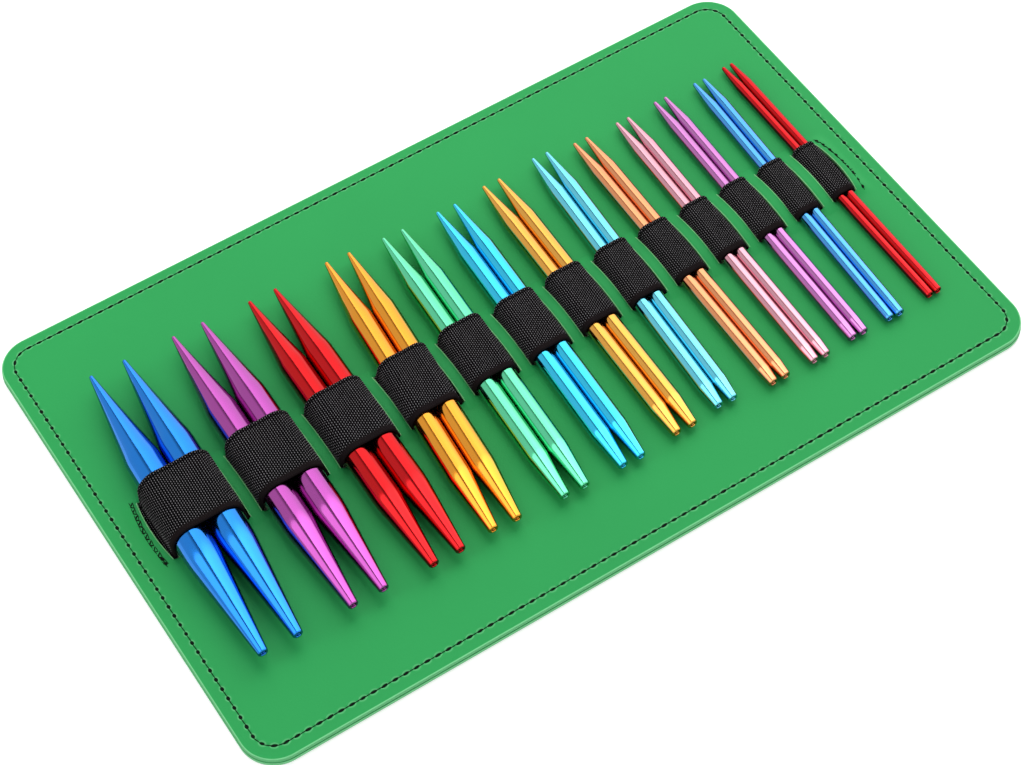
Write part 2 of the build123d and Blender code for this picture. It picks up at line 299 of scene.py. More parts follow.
class ElasticSettings(bpy.types.PropertyGroup):
    """Sizes and colours of the knitted elastic."""

    rib_pitch: size_property("Rib pitch", "Spacing of the ribs in slack elastic", 0.5 * MM, 0.2 * MM, 2 * MM)
    rib_stretch: share_property(
        "Rib stretch", "Extra rib spacing for each millimetre of needle thickness", 0.0185,
    )
    stitch_pitch: size_property(
        "Stitch pitch", "Spacing of the knots along one rib", 0.76 * MM, 0.2 * MM, 2 * MM,
    )
    relief: size_property("Relief", "Height of the ribs", 0.16 * MM, 0.0, 0.4 * MM)
    # Painted highlight: light grey on the tops of the knots of the black yarn
    knot_highlight_colour: colour_property("Yarn", "Colour of the covering yarn in the light", "#8A878A")
    ground_colour: colour_property("Ground", "Colour down between the ribs", "#040405")
    edge_colour: colour_property("Selvage", "Colour of the plain woven edge", "#191415")


class NeedleSettings(bpy.types.PropertyGroup):
    """Sizes and finish of the needle points."""

    thread_pitch: size_property("Thread pitch", "Pitch of the tapped hole", 0.4 * MM, 0.2 * MM, 1 * MM)
    thread_depth: size_property("Thread depth", "Depth of the thread's groove", 0.12 * MM, 0.0, 0.3 * MM)
    mouth: size_property("Hole mouth", "Width of the chamfer at the hole's mouth", 0.15 * MM, 0.0, 0.3 * MM)
    roughness: share_property("Roughness", "Roughness of the polished metal under the dye", 0.13)
    coat: share_property("Oxide layer", "Strength of the clear layer over the dyed metal", 1.0)


class StageSettings(bpy.types.PropertyGroup):
    """Light round the object."""

    ambient: share_property("Ambient", "Light that the white room gives the object", 0.45, 4.0)
    key: share_property("Key", "Radiance of the large softbox on the right", 2.1, 20.0)
    top: share_property("Top", "Radiance of the small softbox overhead on the left", 2.6, 20.0)
    front: share_property("Front", "Radiance of the low strip light in front", 1.8, 20.0)
    frame_shade: share_property(
        "Softbox frame", "Radiance of the frame at the softbox's upper edge", 0.5, 4.0,
    )


# Helpers for node trees and meshes


def add_node(tree, kind, settings=None, feeds=None, **inputs):
    """Adds a node, sets what it has, and feeds its inputs from other nodes' sockets or with plain values."""
    node = tree.nodes.new(kind)
    for key, value in (settings or {}).items():
        setattr(node, key, value)
    named = {key.replace("_", " "): value for key, value in inputs.items()}
    for key, value in {**named, **(feeds or {})}.items():
        if isinstance(value, bpy.types.NodeSocket):
            tree.links.new(value, node.inputs[key])
        else:
            node.inputs[key].default_value = value
    return node


def new_material(name, **values):
    """A material with a Principled shader of these plain values, joined to its output."""
    material = bpy.data.materials.new(name)
    material.use_nodes = True
    tree = material.node_tree
    tree.nodes.clear()
    shader = add_node(tree, "ShaderNodeBsdfPrincipled", **values)
    add_node(tree, "ShaderNodeOutputMaterial", Surface=shader.outputs["BSDF"])
    return material, tree, shader


def mesh_object(name, vertices, faces, material, smooth_angle=40.0):
    """A new mesh piece at the origin, smooth apart from edges sharper than the given angle."""
    mesh = bpy.data.meshes.new(name)
    mesh.from_pydata([tuple(v) for v in vertices], [], [tuple(f) for f in faces])
    mesh.validate()
    mesh.materials.append(material)
    mesh.polygons.foreach_set("use_smooth", [True] * len(mesh.polygons))
    mesh.set_sharp_from_angle(angle=math.radians(smooth_angle))
    mesh.update()
    piece = bpy.data.objects.new(name, mesh)
    bpy.context.scene.collection.objects.link(piece)
    return piece


def plain_mesh(piece):
    """Applies what the piece's modifiers make, so that it is a plain mesh."""
    graph = bpy.context.evaluated_depsgraph_get()
    made = bpy.data.meshes.new_from_object(piece.evaluated_get(graph))
    piece.modifiers.clear()
    piece.data = made
    return piece


# Materials


def leatherette(name, settings, cut=False):
    """Leatherette: polyurethane on cloth, embossed with a fine pebble and left satin, for a wide sheen."""
    material, tree, shader = new_material(name, Roughness=0.8 if cut else 0.5, Specular_IOR_Level=0.1)
    place = add_node(tree, "ShaderNodeTexCoord").outputs["Object"]
    cloud = add_node(
        tree, "ShaderNodeTexNoise", Vector=place, Scale=1 / LEATHER_CLOUD, Detail=3.0, Roughness=0.5,
    )
    shade = add_node(tree, "ShaderNodeMapRange", Value=cloud.outputs["Fac"], To_Min=0.93, To_Max=1.07)
    tone = add_node(
        tree, "ShaderNodeHueSaturation", Value=shade.outputs["Result"],
        Color=settings.cut_colour if cut else settings.colour,
    )
    # Painted highlight: a per-point share mixes the face towards a paler green on the rolled edges, their
    # side faces and round the seam holes
    drawn = add_node(tree, "ShaderNodeAttribute", {"attribute_name": "painted_edge_light"})
    face = add_node(
        tree, "ShaderNodeMix", {"data_type": "RGBA"},
        {"Factor": drawn.outputs["Fac"], 6: tone.outputs["Color"], 7: settings.painted_edge_light_colour},
    )
    tree.links.new(face.outputs[2], shader.inputs["Base Color"])
    pebble = add_node(
        tree, "ShaderNodeTexVoronoi", {"feature": "SMOOTH_F1"},
        Vector=place, Scale=1 / settings.grain, Smoothness=0.6,
    )
    fine = add_node(tree, "ShaderNodeTexNoise", Vector=place, Scale=2.6 / settings.grain, Detail=2.0)
    height = add_node(
        tree, "ShaderNodeMath", {"operation": "MULTIPLY_ADD"},
        {0: pebble.outputs["Distance"], 1: 0.8, 2: fine.outputs["Fac"]},
    )
    swell = add_node(tree, "ShaderNodeTexNoise", Vector=place, Scale=1 / LEATHER_SWELL, Detail=1.0)
    wave = add_node(tree, "ShaderNodeBump", Height=swell.outputs["Fac"], Strength=0.12, Distance=0.6 * MM)
    bump = add_node(
        tree, "ShaderNodeBump", Height=height.outputs["Value"], Normal=wave.outputs["Normal"],
        Strength=0.6 if cut else 0.28, Distance=0.05 * MM,
    )
    tree.links.new(bump.outputs["Normal"], shader.inputs["Normal"])
    return material


def sewing_thread(name, colour):
    """Bonded polyester thread: twisted, waxed and matt, so it stays nearly black with a faint green edge."""
    material, tree, shader = new_material(name, Roughness=0.75, Specular_IOR_Level=0.1)
    place = add_node(tree, "ShaderNodeTexCoord").outputs["Object"]
    ply = add_node(tree, "ShaderNodeTexNoise", Vector=place, Scale=1 / THREAD_PLY, Detail=1.0).outputs["Fac"]
    tone = add_node(
        tree, "ShaderNodeMix", {"data_type": "RGBA"}, {"Factor": ply, 6: darker(colour, 0.5), 7: colour},
    )
    tree.links.new(tone.outputs[2], shader.inputs["Base Color"])
    bump = add_node(tree, "ShaderNodeBump", Height=ply, Strength=0.5, Distance=0.05 * MM)
    tree.links.new(bump.outputs["Normal"], shader.inputs["Normal"])
    return material


def knitted_elastic(settings):
    """Knitted elastic: rubber cords covered in black polyester yarn, so light catches the knots alone."""
    material, tree, shader = new_material("knitted_elastic", Roughness=0.85, Specular_IOR_Level=0.03)
    weave = add_node(tree, "ShaderNodeUVMap", {"uv_map": "weave"})
    split = add_node(tree, "ShaderNodeSeparateXYZ", Vector=weave.outputs["UV"])
    # Each rib's knots lie half a stitch past those of the rib beside it
    rib = add_node(tree, "ShaderNodeMath", {"operation": "ROUND"}, {0: split.outputs["X"]}).outputs[0]
    across = add_node(tree, "ShaderNodeMath", {"operation": "SUBTRACT"}, {0: split.outputs["X"], 1: rib})
    shifted = add_node(
        tree, "ShaderNodeMath", {"operation": "MULTIPLY_ADD"}, {0: rib, 1: 0.5, 2: split.outputs["Y"]},
    ).outputs[0]
    knot = add_node(tree, "ShaderNodeMath", {"operation": "ROUND"}, {0: shifted})
    along = add_node(tree, "ShaderNodeMath", {"operation": "SUBTRACT"}, {0: shifted, 1: knot.outputs[0]})
    offset = add_node(tree, "ShaderNodeCombineXYZ", X=across.outputs[0], Y=along.outputs[0])
    knotted = add_node(
        tree, "ShaderNodeVectorMath", {"operation": "MULTIPLY"},
        {0: offset.outputs["Vector"], 1: (1.35, 0.7, 1.0)},
    )
    away = add_node(tree, "ShaderNodeVectorMath", {"operation": "LENGTH"}, {0: knotted.outputs["Vector"]})
    # Painted highlight: the knots' tops are coloured light grey over the near-black ground
    dot = add_node(
        tree, "ShaderNodeMapRange", {"interpolation_type": "SMOOTHSTEP"}, Value=away.outputs["Value"],
        From_Min=0.29, From_Max=0.06, To_Min=0.0, To_Max=1.0,
    ).outputs["Result"]
    selvage = add_node(tree, "ShaderNodeAttribute", {"attribute_name": "selvage"})
    # Painted shade: the sunk line beside the back edge is coloured darker than the ground
    line = add_node(tree, "ShaderNodeAttribute", {"attribute_name": "groove"})
    tone = settings.ground_colour
    for share, colour in (
        (dot, settings.knot_highlight_colour),
        (selvage.outputs["Fac"], settings.edge_colour),
        (line.outputs["Fac"], darker(settings.ground_colour, 0.4)),
    ):
        mix = add_node(tree, "ShaderNodeMix", {"data_type": "RGBA"}, {"Factor": share, 6: tone, 7: colour})
        tone = mix.outputs[2]
    tree.links.new(tone, shader.inputs["Base Color"])
    bump = add_node(tree, "ShaderNodeBump", Height=dot, Strength=0.7, Distance=0.12 * MM)
    tree.links.new(bump.outputs["Normal"], shader.inputs["Normal"])
    return material


def anodised_aluminium(name, colour, clearness, settings):
    """Anodised aluminium: turned, polished, dyed and sealed, so coloured mirror light under a clear oxide."""
    material, tree, shader = new_material(
        name, Metallic=1.0, Coat_Weight=settings.coat * clearness, Coat_Roughness=0.08, Coat_IOR=1.6,
    )
    place = add_node(tree, "ShaderNodeTexCoord").outputs["Object"]
    turning = add_node(tree, "ShaderNodeTexNoise", Vector=place, Scale=1 / TURNING_MARK, Detail=2.0)
    rough = add_node(
        tree, "ShaderNodeMapRange", Value=turning.outputs["Fac"],
        To_Min=settings.roughness * 0.8, To_Max=settings.roughness * 1.25,
    )
    tree.links.new(rough.outputs["Result"], shader.inputs["Roughness"])
    cloud = add_node(tree, "ShaderNodeTexNoise", Vector=place, Scale=1 / DYE_CLOUD, Detail=2.0)
    shade = add_node(tree, "ShaderNodeMapRange", Value=cloud.outputs["Fac"], To_Min=0.95, To_Max=1.04)
    tone = add_node(tree, "ShaderNodeHueSaturation", Value=shade.outputs["Result"], Color=linear(colour))
    tree.links.new(tone.outputs["Color"], shader.inputs["Base Color"])
    return material


def grey_board():
    """Grey board: pressed waste paper pulp, so matt, soft grey and faintly speckled."""
    material, tree, shader = new_material("grey_board", Roughness=0.9)
    place = add_node(tree, "ShaderNodeTexCoord").outputs["Object"]
    pulp = add_node(tree, "ShaderNodeTexNoise", Vector=place, Scale=1 / PAPER_PULP, Detail=4.0)
    tone = add_node(
        tree, "ShaderNodeMix", {"data_type": "RGBA"},
        {"Factor": pulp.outputs["Fac"], 6: linear("#6F6C64"), 7: linear("#9A968C")},
    )
    tree.links.new(tone.outputs[2], shader.inputs["Base Color"])
    return material


# Where the pairs stand, read from the frame


def mount_of(name):
    """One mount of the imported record."""
    return next(m for m in frame["record"]["mounts"] if m["name"] == name)


def needle_facts(size, side):
    """Axis, middle, length and radius of one needle point."""
    mount = mount_of(f"thread_{size}mm_{side}")
    along = -Vector(mount["axis"])
    low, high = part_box(f"needle_{size}mm_{side}")
    tail = Vector(mount["pos_m"]) - along * (mount["dims"]["length_mm"] * MM / 2)
    middle = (low + high) / 2
    middle.z = tail.z
    return {
        "along": along,
        "tail": tail,
        "length": 2 * (middle - tail).dot(along),
        "radius": float(size.replace("_", ".")) / 2 * MM,
        "hole_radius": mount["dims"]["r_mm"] * MM,
        "hole_depth": mount["dims"]["length_mm"] * MM,
    }


def loop_facts(size):
    """Middle, needle radius, lean and slit place of one loop."""
    left = needle_facts(size, "left")
    right = needle_facts(size, "right")
    radius = left["radius"]
    between = [needle["tail"] + needle["along"] * (needle["length"] / 2) for needle in (left, right)]
    centre = (between[0] + between[1]) / 2
    lean = left["along"].x / left["along"].y
    low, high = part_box(f"elastic_loop_{size}mm")
    leg = 2 * radius + PAIR_GAP / 2 + LOOP_CLEARANCE + BAND_THICKNESS
    return {
        "middle": centre.x, "radius": radius, "lean": lean, "centre_z": centre.z,
        "leg": leg - HUG, "slit": leg + SLIT_CLEARANCE, "start": low.x, "end": high.x,
    }


LOOPS = [loop_facts(pair[0]) for pair in PAIRS]
ROW_START = LOOPS[0]["middle"] - LOOPS[0]["slit"]
ROW_END = LOOPS[-1]["middle"] + LOOPS[-1]["slit"]


# Leatherette sheets


def outline_stations(inset, pitch, parts):
    """Points round the board's rounded rectangle, so many to a stitch, with the way out at each."""
    straight_x, straight_y = HALF_LENGTH - CORNER_RADIUS, HALF_WIDTH - CORNER_RADIUS
    corners = [Vector((a * straight_x, b * straight_y)) for a, b in ((1, -1), (1, 1), (-1, 1), (-1, -1))]
    bend = math.pi * (CORNER_RADIUS - SEAM_INSET) / 2
    lengths = [2 * straight_x, bend, 2 * straight_y, bend] * 2
    total = sum(lengths)
    count = round(total / pitch) * parts
    places = []
    for index in range(count):
        travel, side = total * index / count, 0
        while travel > lengths[side]:
            travel -= lengths[side]
            side += 1
        share = travel / lengths[side]
        quarter, turning = divmod(side, 2)
        centre = corners[quarter] if turning else corners[quarter - 1].lerp(corners[quarter], share)
        angle = (quarter - 1 + share * turning) * math.pi / 2
        out = Vector((math.cos(angle), math.sin(angle)))
        places.append((centre + out * (CORNER_RADIUS - inset), out))
    return places


def rim_spot(place, out, inset):
    """A place at some inset from the outline, where the sheets' edge is cut towards the board's front."""
    spot = place - out * inset
    spot.y -= EDGE_SHIFT * min(1.0, max(0.0, 1 - inset / SEAM_INSET))
    return spot


def roll_rings(radius, proud, level, way, angles, inward=False):
    """Inset and height at each angle of a rolled edge, from its flat out to its side, or back inward."""
    turns = [math.radians(90 - angle if inward else angle) for angle in angles]
    return [
        (radius * (1 - math.sin(turn)) - proud, level + way * radius * (1 - math.cos(turn))) for turn in turns
    ]


def join_rings(bm, rings):
    """Faces between rings of as many points each."""
    count = len(rings[0])
    for outer, inner in zip(rings, rings[1:]):
        for k in range(count):
            after = (k + 1) % count
            bm.faces.new((outer[k], outer[after], inner[after], inner[k]))


def bell(value):
    """A bell curve: one at nought, and falling off to either side."""
    return math.exp(-value * value)


def arch_height(y):
    """How far a strip's arc stands over the sheet at a distance across the row."""
    if abs(y) >= ARCH_HALF:
        return 0.0
    drop = (ARCH_HALF ** 2 - ARCH_RISE ** 2) / (2 * ARCH_RISE)
    radius = drop + ARCH_RISE
    return math.sqrt(radius ** 2 - y ** 2) - drop


def smooth_step(value):
    """Eases a share from nought to one."""
    share = min(max(value, 0.0), 1.0)
    return share * share * (3 - 2 * share)


def row_columns():
    """Places along the row and what the sheet does there: raised end, strip, slit or bed."""
    slit_width = BAND_THICKNESS + 2 * SLIT_CLEARANCE
    last = len(LOOPS) - 1
    lefts = [loop["middle"] - loop["slit"] + STRIP_SHIFT * (n > 0) for n, loop in enumerate(LOOPS)]
    rights = [loop["middle"] + loop["slit"] + STRIP_SHIFT * (n < last) for n, loop in enumerate(LOOPS)]
    columns = [(ROW_START - END_LENGTH - END_MARGIN, ROW_START, "end")]
    for index, (left, right) in enumerate(zip(lefts, rights)):
        columns.append((left, left + slit_width, "slit"))
        columns.append((left + slit_width, right - slit_width, "bed"))
        columns.append((right - slit_width, right, "slit"))
        if index < last:
            columns.append((right, lefts[index + 1], "strip"))
    columns.append((ROW_END, ROW_END + END_LENGTH + END_MARGIN, "end"))
    return columns


def row_lines(columns):
    """Lines across the row for the sheet's grid, with a narrow lip beside each slit."""
    parts = {"end": 12, "strip": 3, "slit": 2, "bed": 2}
    lines = []
    for low, high, kind in columns:
        spots = list(np.linspace(low, high, parts[kind] + 1)[:-1])
        if kind in ("strip", "bed") or (kind == "end" and low > 0):
            spots.append(low + LIP[0])
        if kind in ("strip", "bed") or (kind == "end" and low < 0):
            spots.append(high - LIP[1])
        lines += [(x, kind) for x in sorted(spots)]
    return lines + [(columns[-1][1], "end")]


def end_height(x, y):
    """How far the sheet stands up over the band's two sewn tabs."""
    past = max(ROW_START - x, x - ROW_END, 0.0)
    rise = END_RISES[0] if x < 0 else END_RISES[1]
    lengthwise = 1.0 - smooth_step((past - END_FLAT) / (END_LENGTH - END_FLAT))
    arched = arch_height(y) / ARCH_RISE
    flat = 1.0 - smooth_step((abs(y) - END_SHOULDER[0]) / END_SHOULDER[1])
    return rise * lengthwise * (END_ARCH_SHARE * arched + (1 - END_ARCH_SHARE) * flat)


def end_bow(x, y):
    """How far the sheet's free edge at either end of the row is pulled away from the band."""
    past = max(ROW_START - x, x - ROW_END)
    if past < -1e-6 or abs(y) >= SLIT_HALF:
        return 0.0
    pull = END_BOW * (1.0 - (y / SLIT_HALF) ** 2) * (1.0 - smooth_step(past / BOW_FADE))
    return -pull if x < 0 else pull


def sheet_top(x, y, strips):
    """Height over the flat sheet at a place in the row, the same from either side of a column's edge."""
    height = 0.0
    for low, high in strips:
        away = max(low - x, x - high, 0.0)
        if abs(y) <= SLIT_HALF:
            share = 1.0 if away < 1e-7 else 0.0
        else:
            share = 1.0 - smooth_step(away / SLIT_FADE)
        height = max(height, arch_height(y) * share)
    if x <= ROW_START + 1e-7 or x >= ROW_END - 1e-7:
        return max(height, end_height(x, y))
    if abs(y) > SLIT_HALF:
        edge, past = (ROW_START, x - ROW_START) if x < 0 else (ROW_END, ROW_END - x)
        height = max(height, end_height(edge, y) * (1.0 - smooth_step(past / SLIT_FADE)))
    return height


def top_rim(bm, settings):
    """The upper sheet's rolled edge and seam as rings from below inward, and the ring under its rim."""
    drawn = bm.verts.layers.float.new("painted_edge_light")
    stations = outline_stations(0.0, settings.stitch_pitch, TOP_PARTS)
    meeting = roll_rings(MEETING_ROLLS[0], PROUD[0], SHEET, 1, (0, 40, 70, 90))
    upper = roll_rings(settings.edge_roll, PROUD[0], COVER_TOP, -1, (0, 30, 60, 90), inward=True)
    # Painted highlight: the side face and the rolled upper edge are made paler by these shares, most at the
    # roll
    pales = (0.0, 0.0, 0.3, 0.5, 0.5, 0.65, 0.76, 0.8)
    rings = [(inset, height, 0.0, pale) for (inset, height), pale in zip(meeting + upper, pales)]
    rings += [(inset * MM, COVER_TOP, 0.0, 0.0) for inset in (-0.12, 0.6, 1.9)]
    for k in (-1.8, -1.3, -1.0, -0.75, -0.5, -0.25, 0.0, 0.25, 0.5, 0.75, 1.0, 1.3, 1.8, 2.4):
        rings.append((SEAM_INSET + settings.seam_width * k, COVER_TOP, math.exp(-GROOVE_FALL * k * k), 0.0))
    grid = []
    for inset, height, dip, pale in rings:
        ring = []
        for index, (place, out) in enumerate(stations):
            spot = rim_spot(place, out, inset)
            phase = (index % TOP_PARTS) / TOP_PARTS
            along = min(phase, 1 - phase) * settings.stitch_pitch
            sunk = TOP_DIP[0] + TOP_DIP[1] * bell(along / HOLE_REACH)
            vertex = bm.verts.new((spot.x, spot.y, height - settings.seam_depth * dip * sunk))
            # Painted highlight: a pale ring round each hole of the seam
            stretch = HALO_STRETCH[0] + HALO_STRETCH[1] * abs(out.y)
            away = math.hypot(along / stretch, inset - SEAM_INSET)
            halo = bell((away - HALO_RADIUS) / HALO_WIDTH) if dip else 0.0
            vertex[drawn] = min(1.0, pale + HALO_STRENGTH * halo)
            ring.append(vertex)
        grid.append(ring)
    under = [bm.verts.new((*(place - out * POCKET_INSET), SHEET)) for place, out in stations]
    join_rings(bm, [under] + grid)
    return grid, under


def lay_row(bm):
    """The row of slits, strips and raised ends, walls and underside too, and its border above and below."""
    columns = row_columns()
    strips = [(low, high) for low, high, kind in columns if kind == "strip"]
    lips = {round(edge, 7) for low, high, kind in columns if kind == "slit" for edge in (low, high)}
    lengthwise = row_lines(columns)
    flank = np.linspace(SLIT_HALF, ARCH_HALF, 9).round(7).tolist() + [ARCH_HALF + 1 * MM]
    middle = np.linspace(-SLIT_HALF, SLIT_HALF, 29).round(7).tolist()
    crosswise = sorted({*middle, *flank, *(-y for y in flank)})
    last_i, last_j = len(lengthwise) - 1, len(crosswise) - 1
    tops, lows, skins = {}, {}, {}
    for i, (x, _) in enumerate(lengthwise):
        for j, y in enumerate(crosswise):
            drop = LIP_DROP if round(x, 7) in lips and abs(y) <= SLIT_HALF else 0.0
            z = COVER_TOP + sheet_top(x, y, strips) - drop
            tops[i, j] = bm.verts.new((x + end_bow(x, y), y, z))
    for i in range(last_i):
        (low, kind), (high, _) = lengthwise[i], lengthwise[i + 1]
        at_lip = {round(low, 7), round(high, 7)} & lips and high - low < 1.5 * LIP[1]
        for j in range(last_j):
            inside = abs(crosswise[j] + crosswise[j + 1]) / 2 < SLIT_HALF
            if kind == "slit" and inside:
                continue
            skins[i, j] = bm.faces.new((tops[i, j], tops[i + 1, j], tops[i + 1, j + 1], tops[i, j + 1]))
            # The narrow lip beside each slit takes the pale cut-edge colour: partly the real cut edge, partly
            # a painted highlight along the rounded edge
            skins[i, j].material_index = 1 if inside and at_lip else 0

    def below(i, j):
        """The sheet's underside below one corner of the grid."""
        if (i, j) not in lows:
            top = tops[i, j].co
            lows[i, j] = bm.verts.new((top.x, top.y, max(top.z - LEATHER_SKIN, STIFFENER_TOP)))
        return lows[i, j]

    for i, j in skins:
        bm.faces.new((below(i, j), below(i, j + 1), below(i + 1, j + 1), below(i + 1, j)))
        for (ni, nj), (a, b) in {
            (i - 1, j): ((i, j + 1), (i, j)),
            (i + 1, j): ((i + 1, j), (i + 1, j + 1)),
            (i, j - 1): ((i, j), (i + 1, j)),
            (i, j + 1): ((i + 1, j + 1), (i, j + 1)),
        }.items():
            if (ni, nj) not in skins and 0 <= ni < last_i and 0 <= nj < last_j:
                wall = bm.faces.new((tops[a], below(*a), below(*b), tops[b]))
                wall.material_index = 1
    border = [(i, 0) for i in range(last_i)] + [(last_i, j) for j in range(last_j)]
    border += [(i, last_j) for i in range(last_i, 0, -1)] + [(0, j) for j in range(last_j, 0, -1)]
    return [tops[corner] for corner in border], [below(*corner) for corner in border]


def fill_between(bm, outer, inner):
    """The flat field between two closed rings of points."""
    edges = []
    for ring in (outer, inner):
        for k, vertex in enumerate(ring):
            ends = (vertex, ring[(k + 1) % len(ring)])
            edges.append(bm.edges.get(ends) or bm.edges.new(ends))
    bmesh.ops.triangle_fill(bm, use_beauty=True, use_dissolve=False, edges=edges)


def top_cover_mesh(settings):
    """The upper sheet: its rolled edge, its seam, the flat field, and the row of slits and strips."""
    bm = bmesh.new()
    grid, under = top_rim(bm, settings)
    border_top, border_low = lay_row(bm)
    fill_between(bm, grid[-1], border_top)
    fill_between(bm, under, border_low)
    bmesh.ops.recalc_face_normals(bm, faces=bm.faces)
    return bm


def back_cover_mesh(settings):
    """The lower sheet: the same outline with its rolled lower edge, its seam and a closed middle."""
    bm = bmesh.new()
    drawn = bm.verts.layers.float.new("painted_edge_light")
    stations = outline_stations(0.0, settings.stitch_pitch, BACK_PARTS)
    rings = [(POCKET_INSET, SHEET)]
    rings += roll_rings(MEETING_ROLLS[1], PROUD[1], SHEET, -1, (0, 30, 60, 90))
    rings += roll_rings(FOOT_ROLL, PROUD[1], 0.0, 1, (0, 18, 36, 54, 72, 90), inward=True)
    rings += [(1.5 * MM, 0.0), (2.1 * MM, 0.0)]
    for k in (-1.4, -0.9, -0.5, 0.0, 0.5, 0.9, 1.4, 2.4):
        rings.append((SEAM_INSET + settings.seam_width * k, 0.0))
    grid = []
    for inset, height in rings:
        off = (inset - SEAM_INSET) / settings.seam_width
        dip = math.exp(-GROOVE_FALL * off * off) if inset > 1 * MM and height == 0.0 else 0.0
        ring = []
        for index, (place, out) in enumerate(stations):
            spot = rim_spot(place, out, inset)
            phase = (index % BACK_PARTS) / BACK_PARTS
            sunk = BACK_DIP[0] + BACK_DIP[1] * bell(min(phase, 1 - phase) / BACK_HOLE_SHARE)
            vertex = bm.verts.new((spot.x, spot.y, height + settings.seam_depth * dip * sunk))
            # Painted highlight on the lower sheet's outermost edge
            vertex[drawn] = BACK_EDGE_PALE if inset < 0.05 * MM - PROUD[1] else 0.0
            ring.append(vertex)
        grid.append(ring)
    join_rings(bm, grid)
    bm.faces.new(grid[0])
    bm.faces.new(grid[-1])
    bmesh.ops.recalc_face_normals(bm, faces=bm.faces)
    return bm


def sheet_piece(name, bm, materials):
    """Turns a built sheet into a piece on the board, smooth but for its cut edges."""
    mesh = bpy.data.meshes.new(name)
    bm.to_mesh(mesh)
    bm.free()
    for material in materials:
        mesh.materials.append(material)
    mesh.polygons.foreach_set("use_smooth", [True] * len(mesh.polygons))
    mesh.set_sharp_from_angle(angle=math.radians(50))
    piece = bpy.data.objects.new(name, mesh)
    bpy.context.scene.collection.objects.link(piece)
    return piece


class BuildCovers(bpy.types.Operator):
    """Makes the two leatherette sheets and finishes the board between them"""

    bl_idname = "needle_set.covers"
    bl_label = "Leatherette covers"

    def execute(self, context):
        settings = context.scene.needle_set_leather
        face = leatherette("leatherette", settings)
        cut = leatherette("leatherette_cut_edge", settings, cut=True)
        top = sheet_piece("top_cover_sheet", top_cover_mesh(settings), [face, cut])
        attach(top, BOARD_BODY)
        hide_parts("top_cover", "cover_bridges")
        back = sheet_piece("back_cover_sheet", back_cover_mesh(settings), [face])
        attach(back, BOARD_BODY)
        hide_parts("back_cover")
        board = frame["nodes"]["stiffener_board"]
        board.data.materials.clear()
        board.data.materials.append(grey_board())
        return {"FINISHED"}


# Stitches


def stitch_shape(name, length, width, height, material, flat=1.0):
    """One short length of thread with rounded ends that dip towards their holes."""
    sides, rings = 8, 9
    vertices, faces = [], []
    for r in range(rings):
        share = r / (rings - 1)
        swell = math.sin(math.pi * min(max(share, 0.04), 0.96)) ** 0.35
        x = (share - 0.5) * length
        z = height * (math.sin(math.pi * share) ** 0.6 - 1.0)
        for s in range(sides):
            turn = 2 * math.pi * s / sides
            reach = width / 2 * swell
            vertices.append((x, reach * math.cos(turn), z + flat * reach * math.sin(turn)))
    for r in range(rings - 1):
        for s in range(sides):
            a, b = r * sides + s, r * sides + (s + 1) % sides
            faces.append((a, b, b + sides, a + sides))
    faces.append(tuple(reversed(range(sides))))
    faces.append(tuple(range((rings - 1) * sides, rings * sides)))
    return mesh_object(name, vertices, faces, material, 60.0)


def new_tree(name, **kinds):
    """A Geometry Nodes tree with geometry and other named inputs, and the sockets that these come in by."""
    tree = bpy.data.node_groups.new(name, "GeometryNodeTree")
    for label, kind in {"Geometry": "Geometry", **kinds}.items():
        tree.interface.new_socket(label.replace("_", " "), in_out="INPUT", socket_type=f"NodeSocket{kind}")
    tree.interface.new_socket("Geometry", in_out="OUTPUT", socket_type="NodeSocketGeometry")
    return tree, add_node(tree, "NodeGroupInput").outputs


def end_tree(tree, geometry, material):
    """Makes a tree's result real faces of one material."""
    real = add_node(tree, "GeometryNodeRealizeInstances", Geometry=geometry)
    done = add_node(tree, "GeometryNodeSetMaterial", Geometry=real.outputs["Geometry"], Material=material)
    add_node(tree, "NodeGroupOutput", Geometry=done.outputs["Geometry"])
    return tree


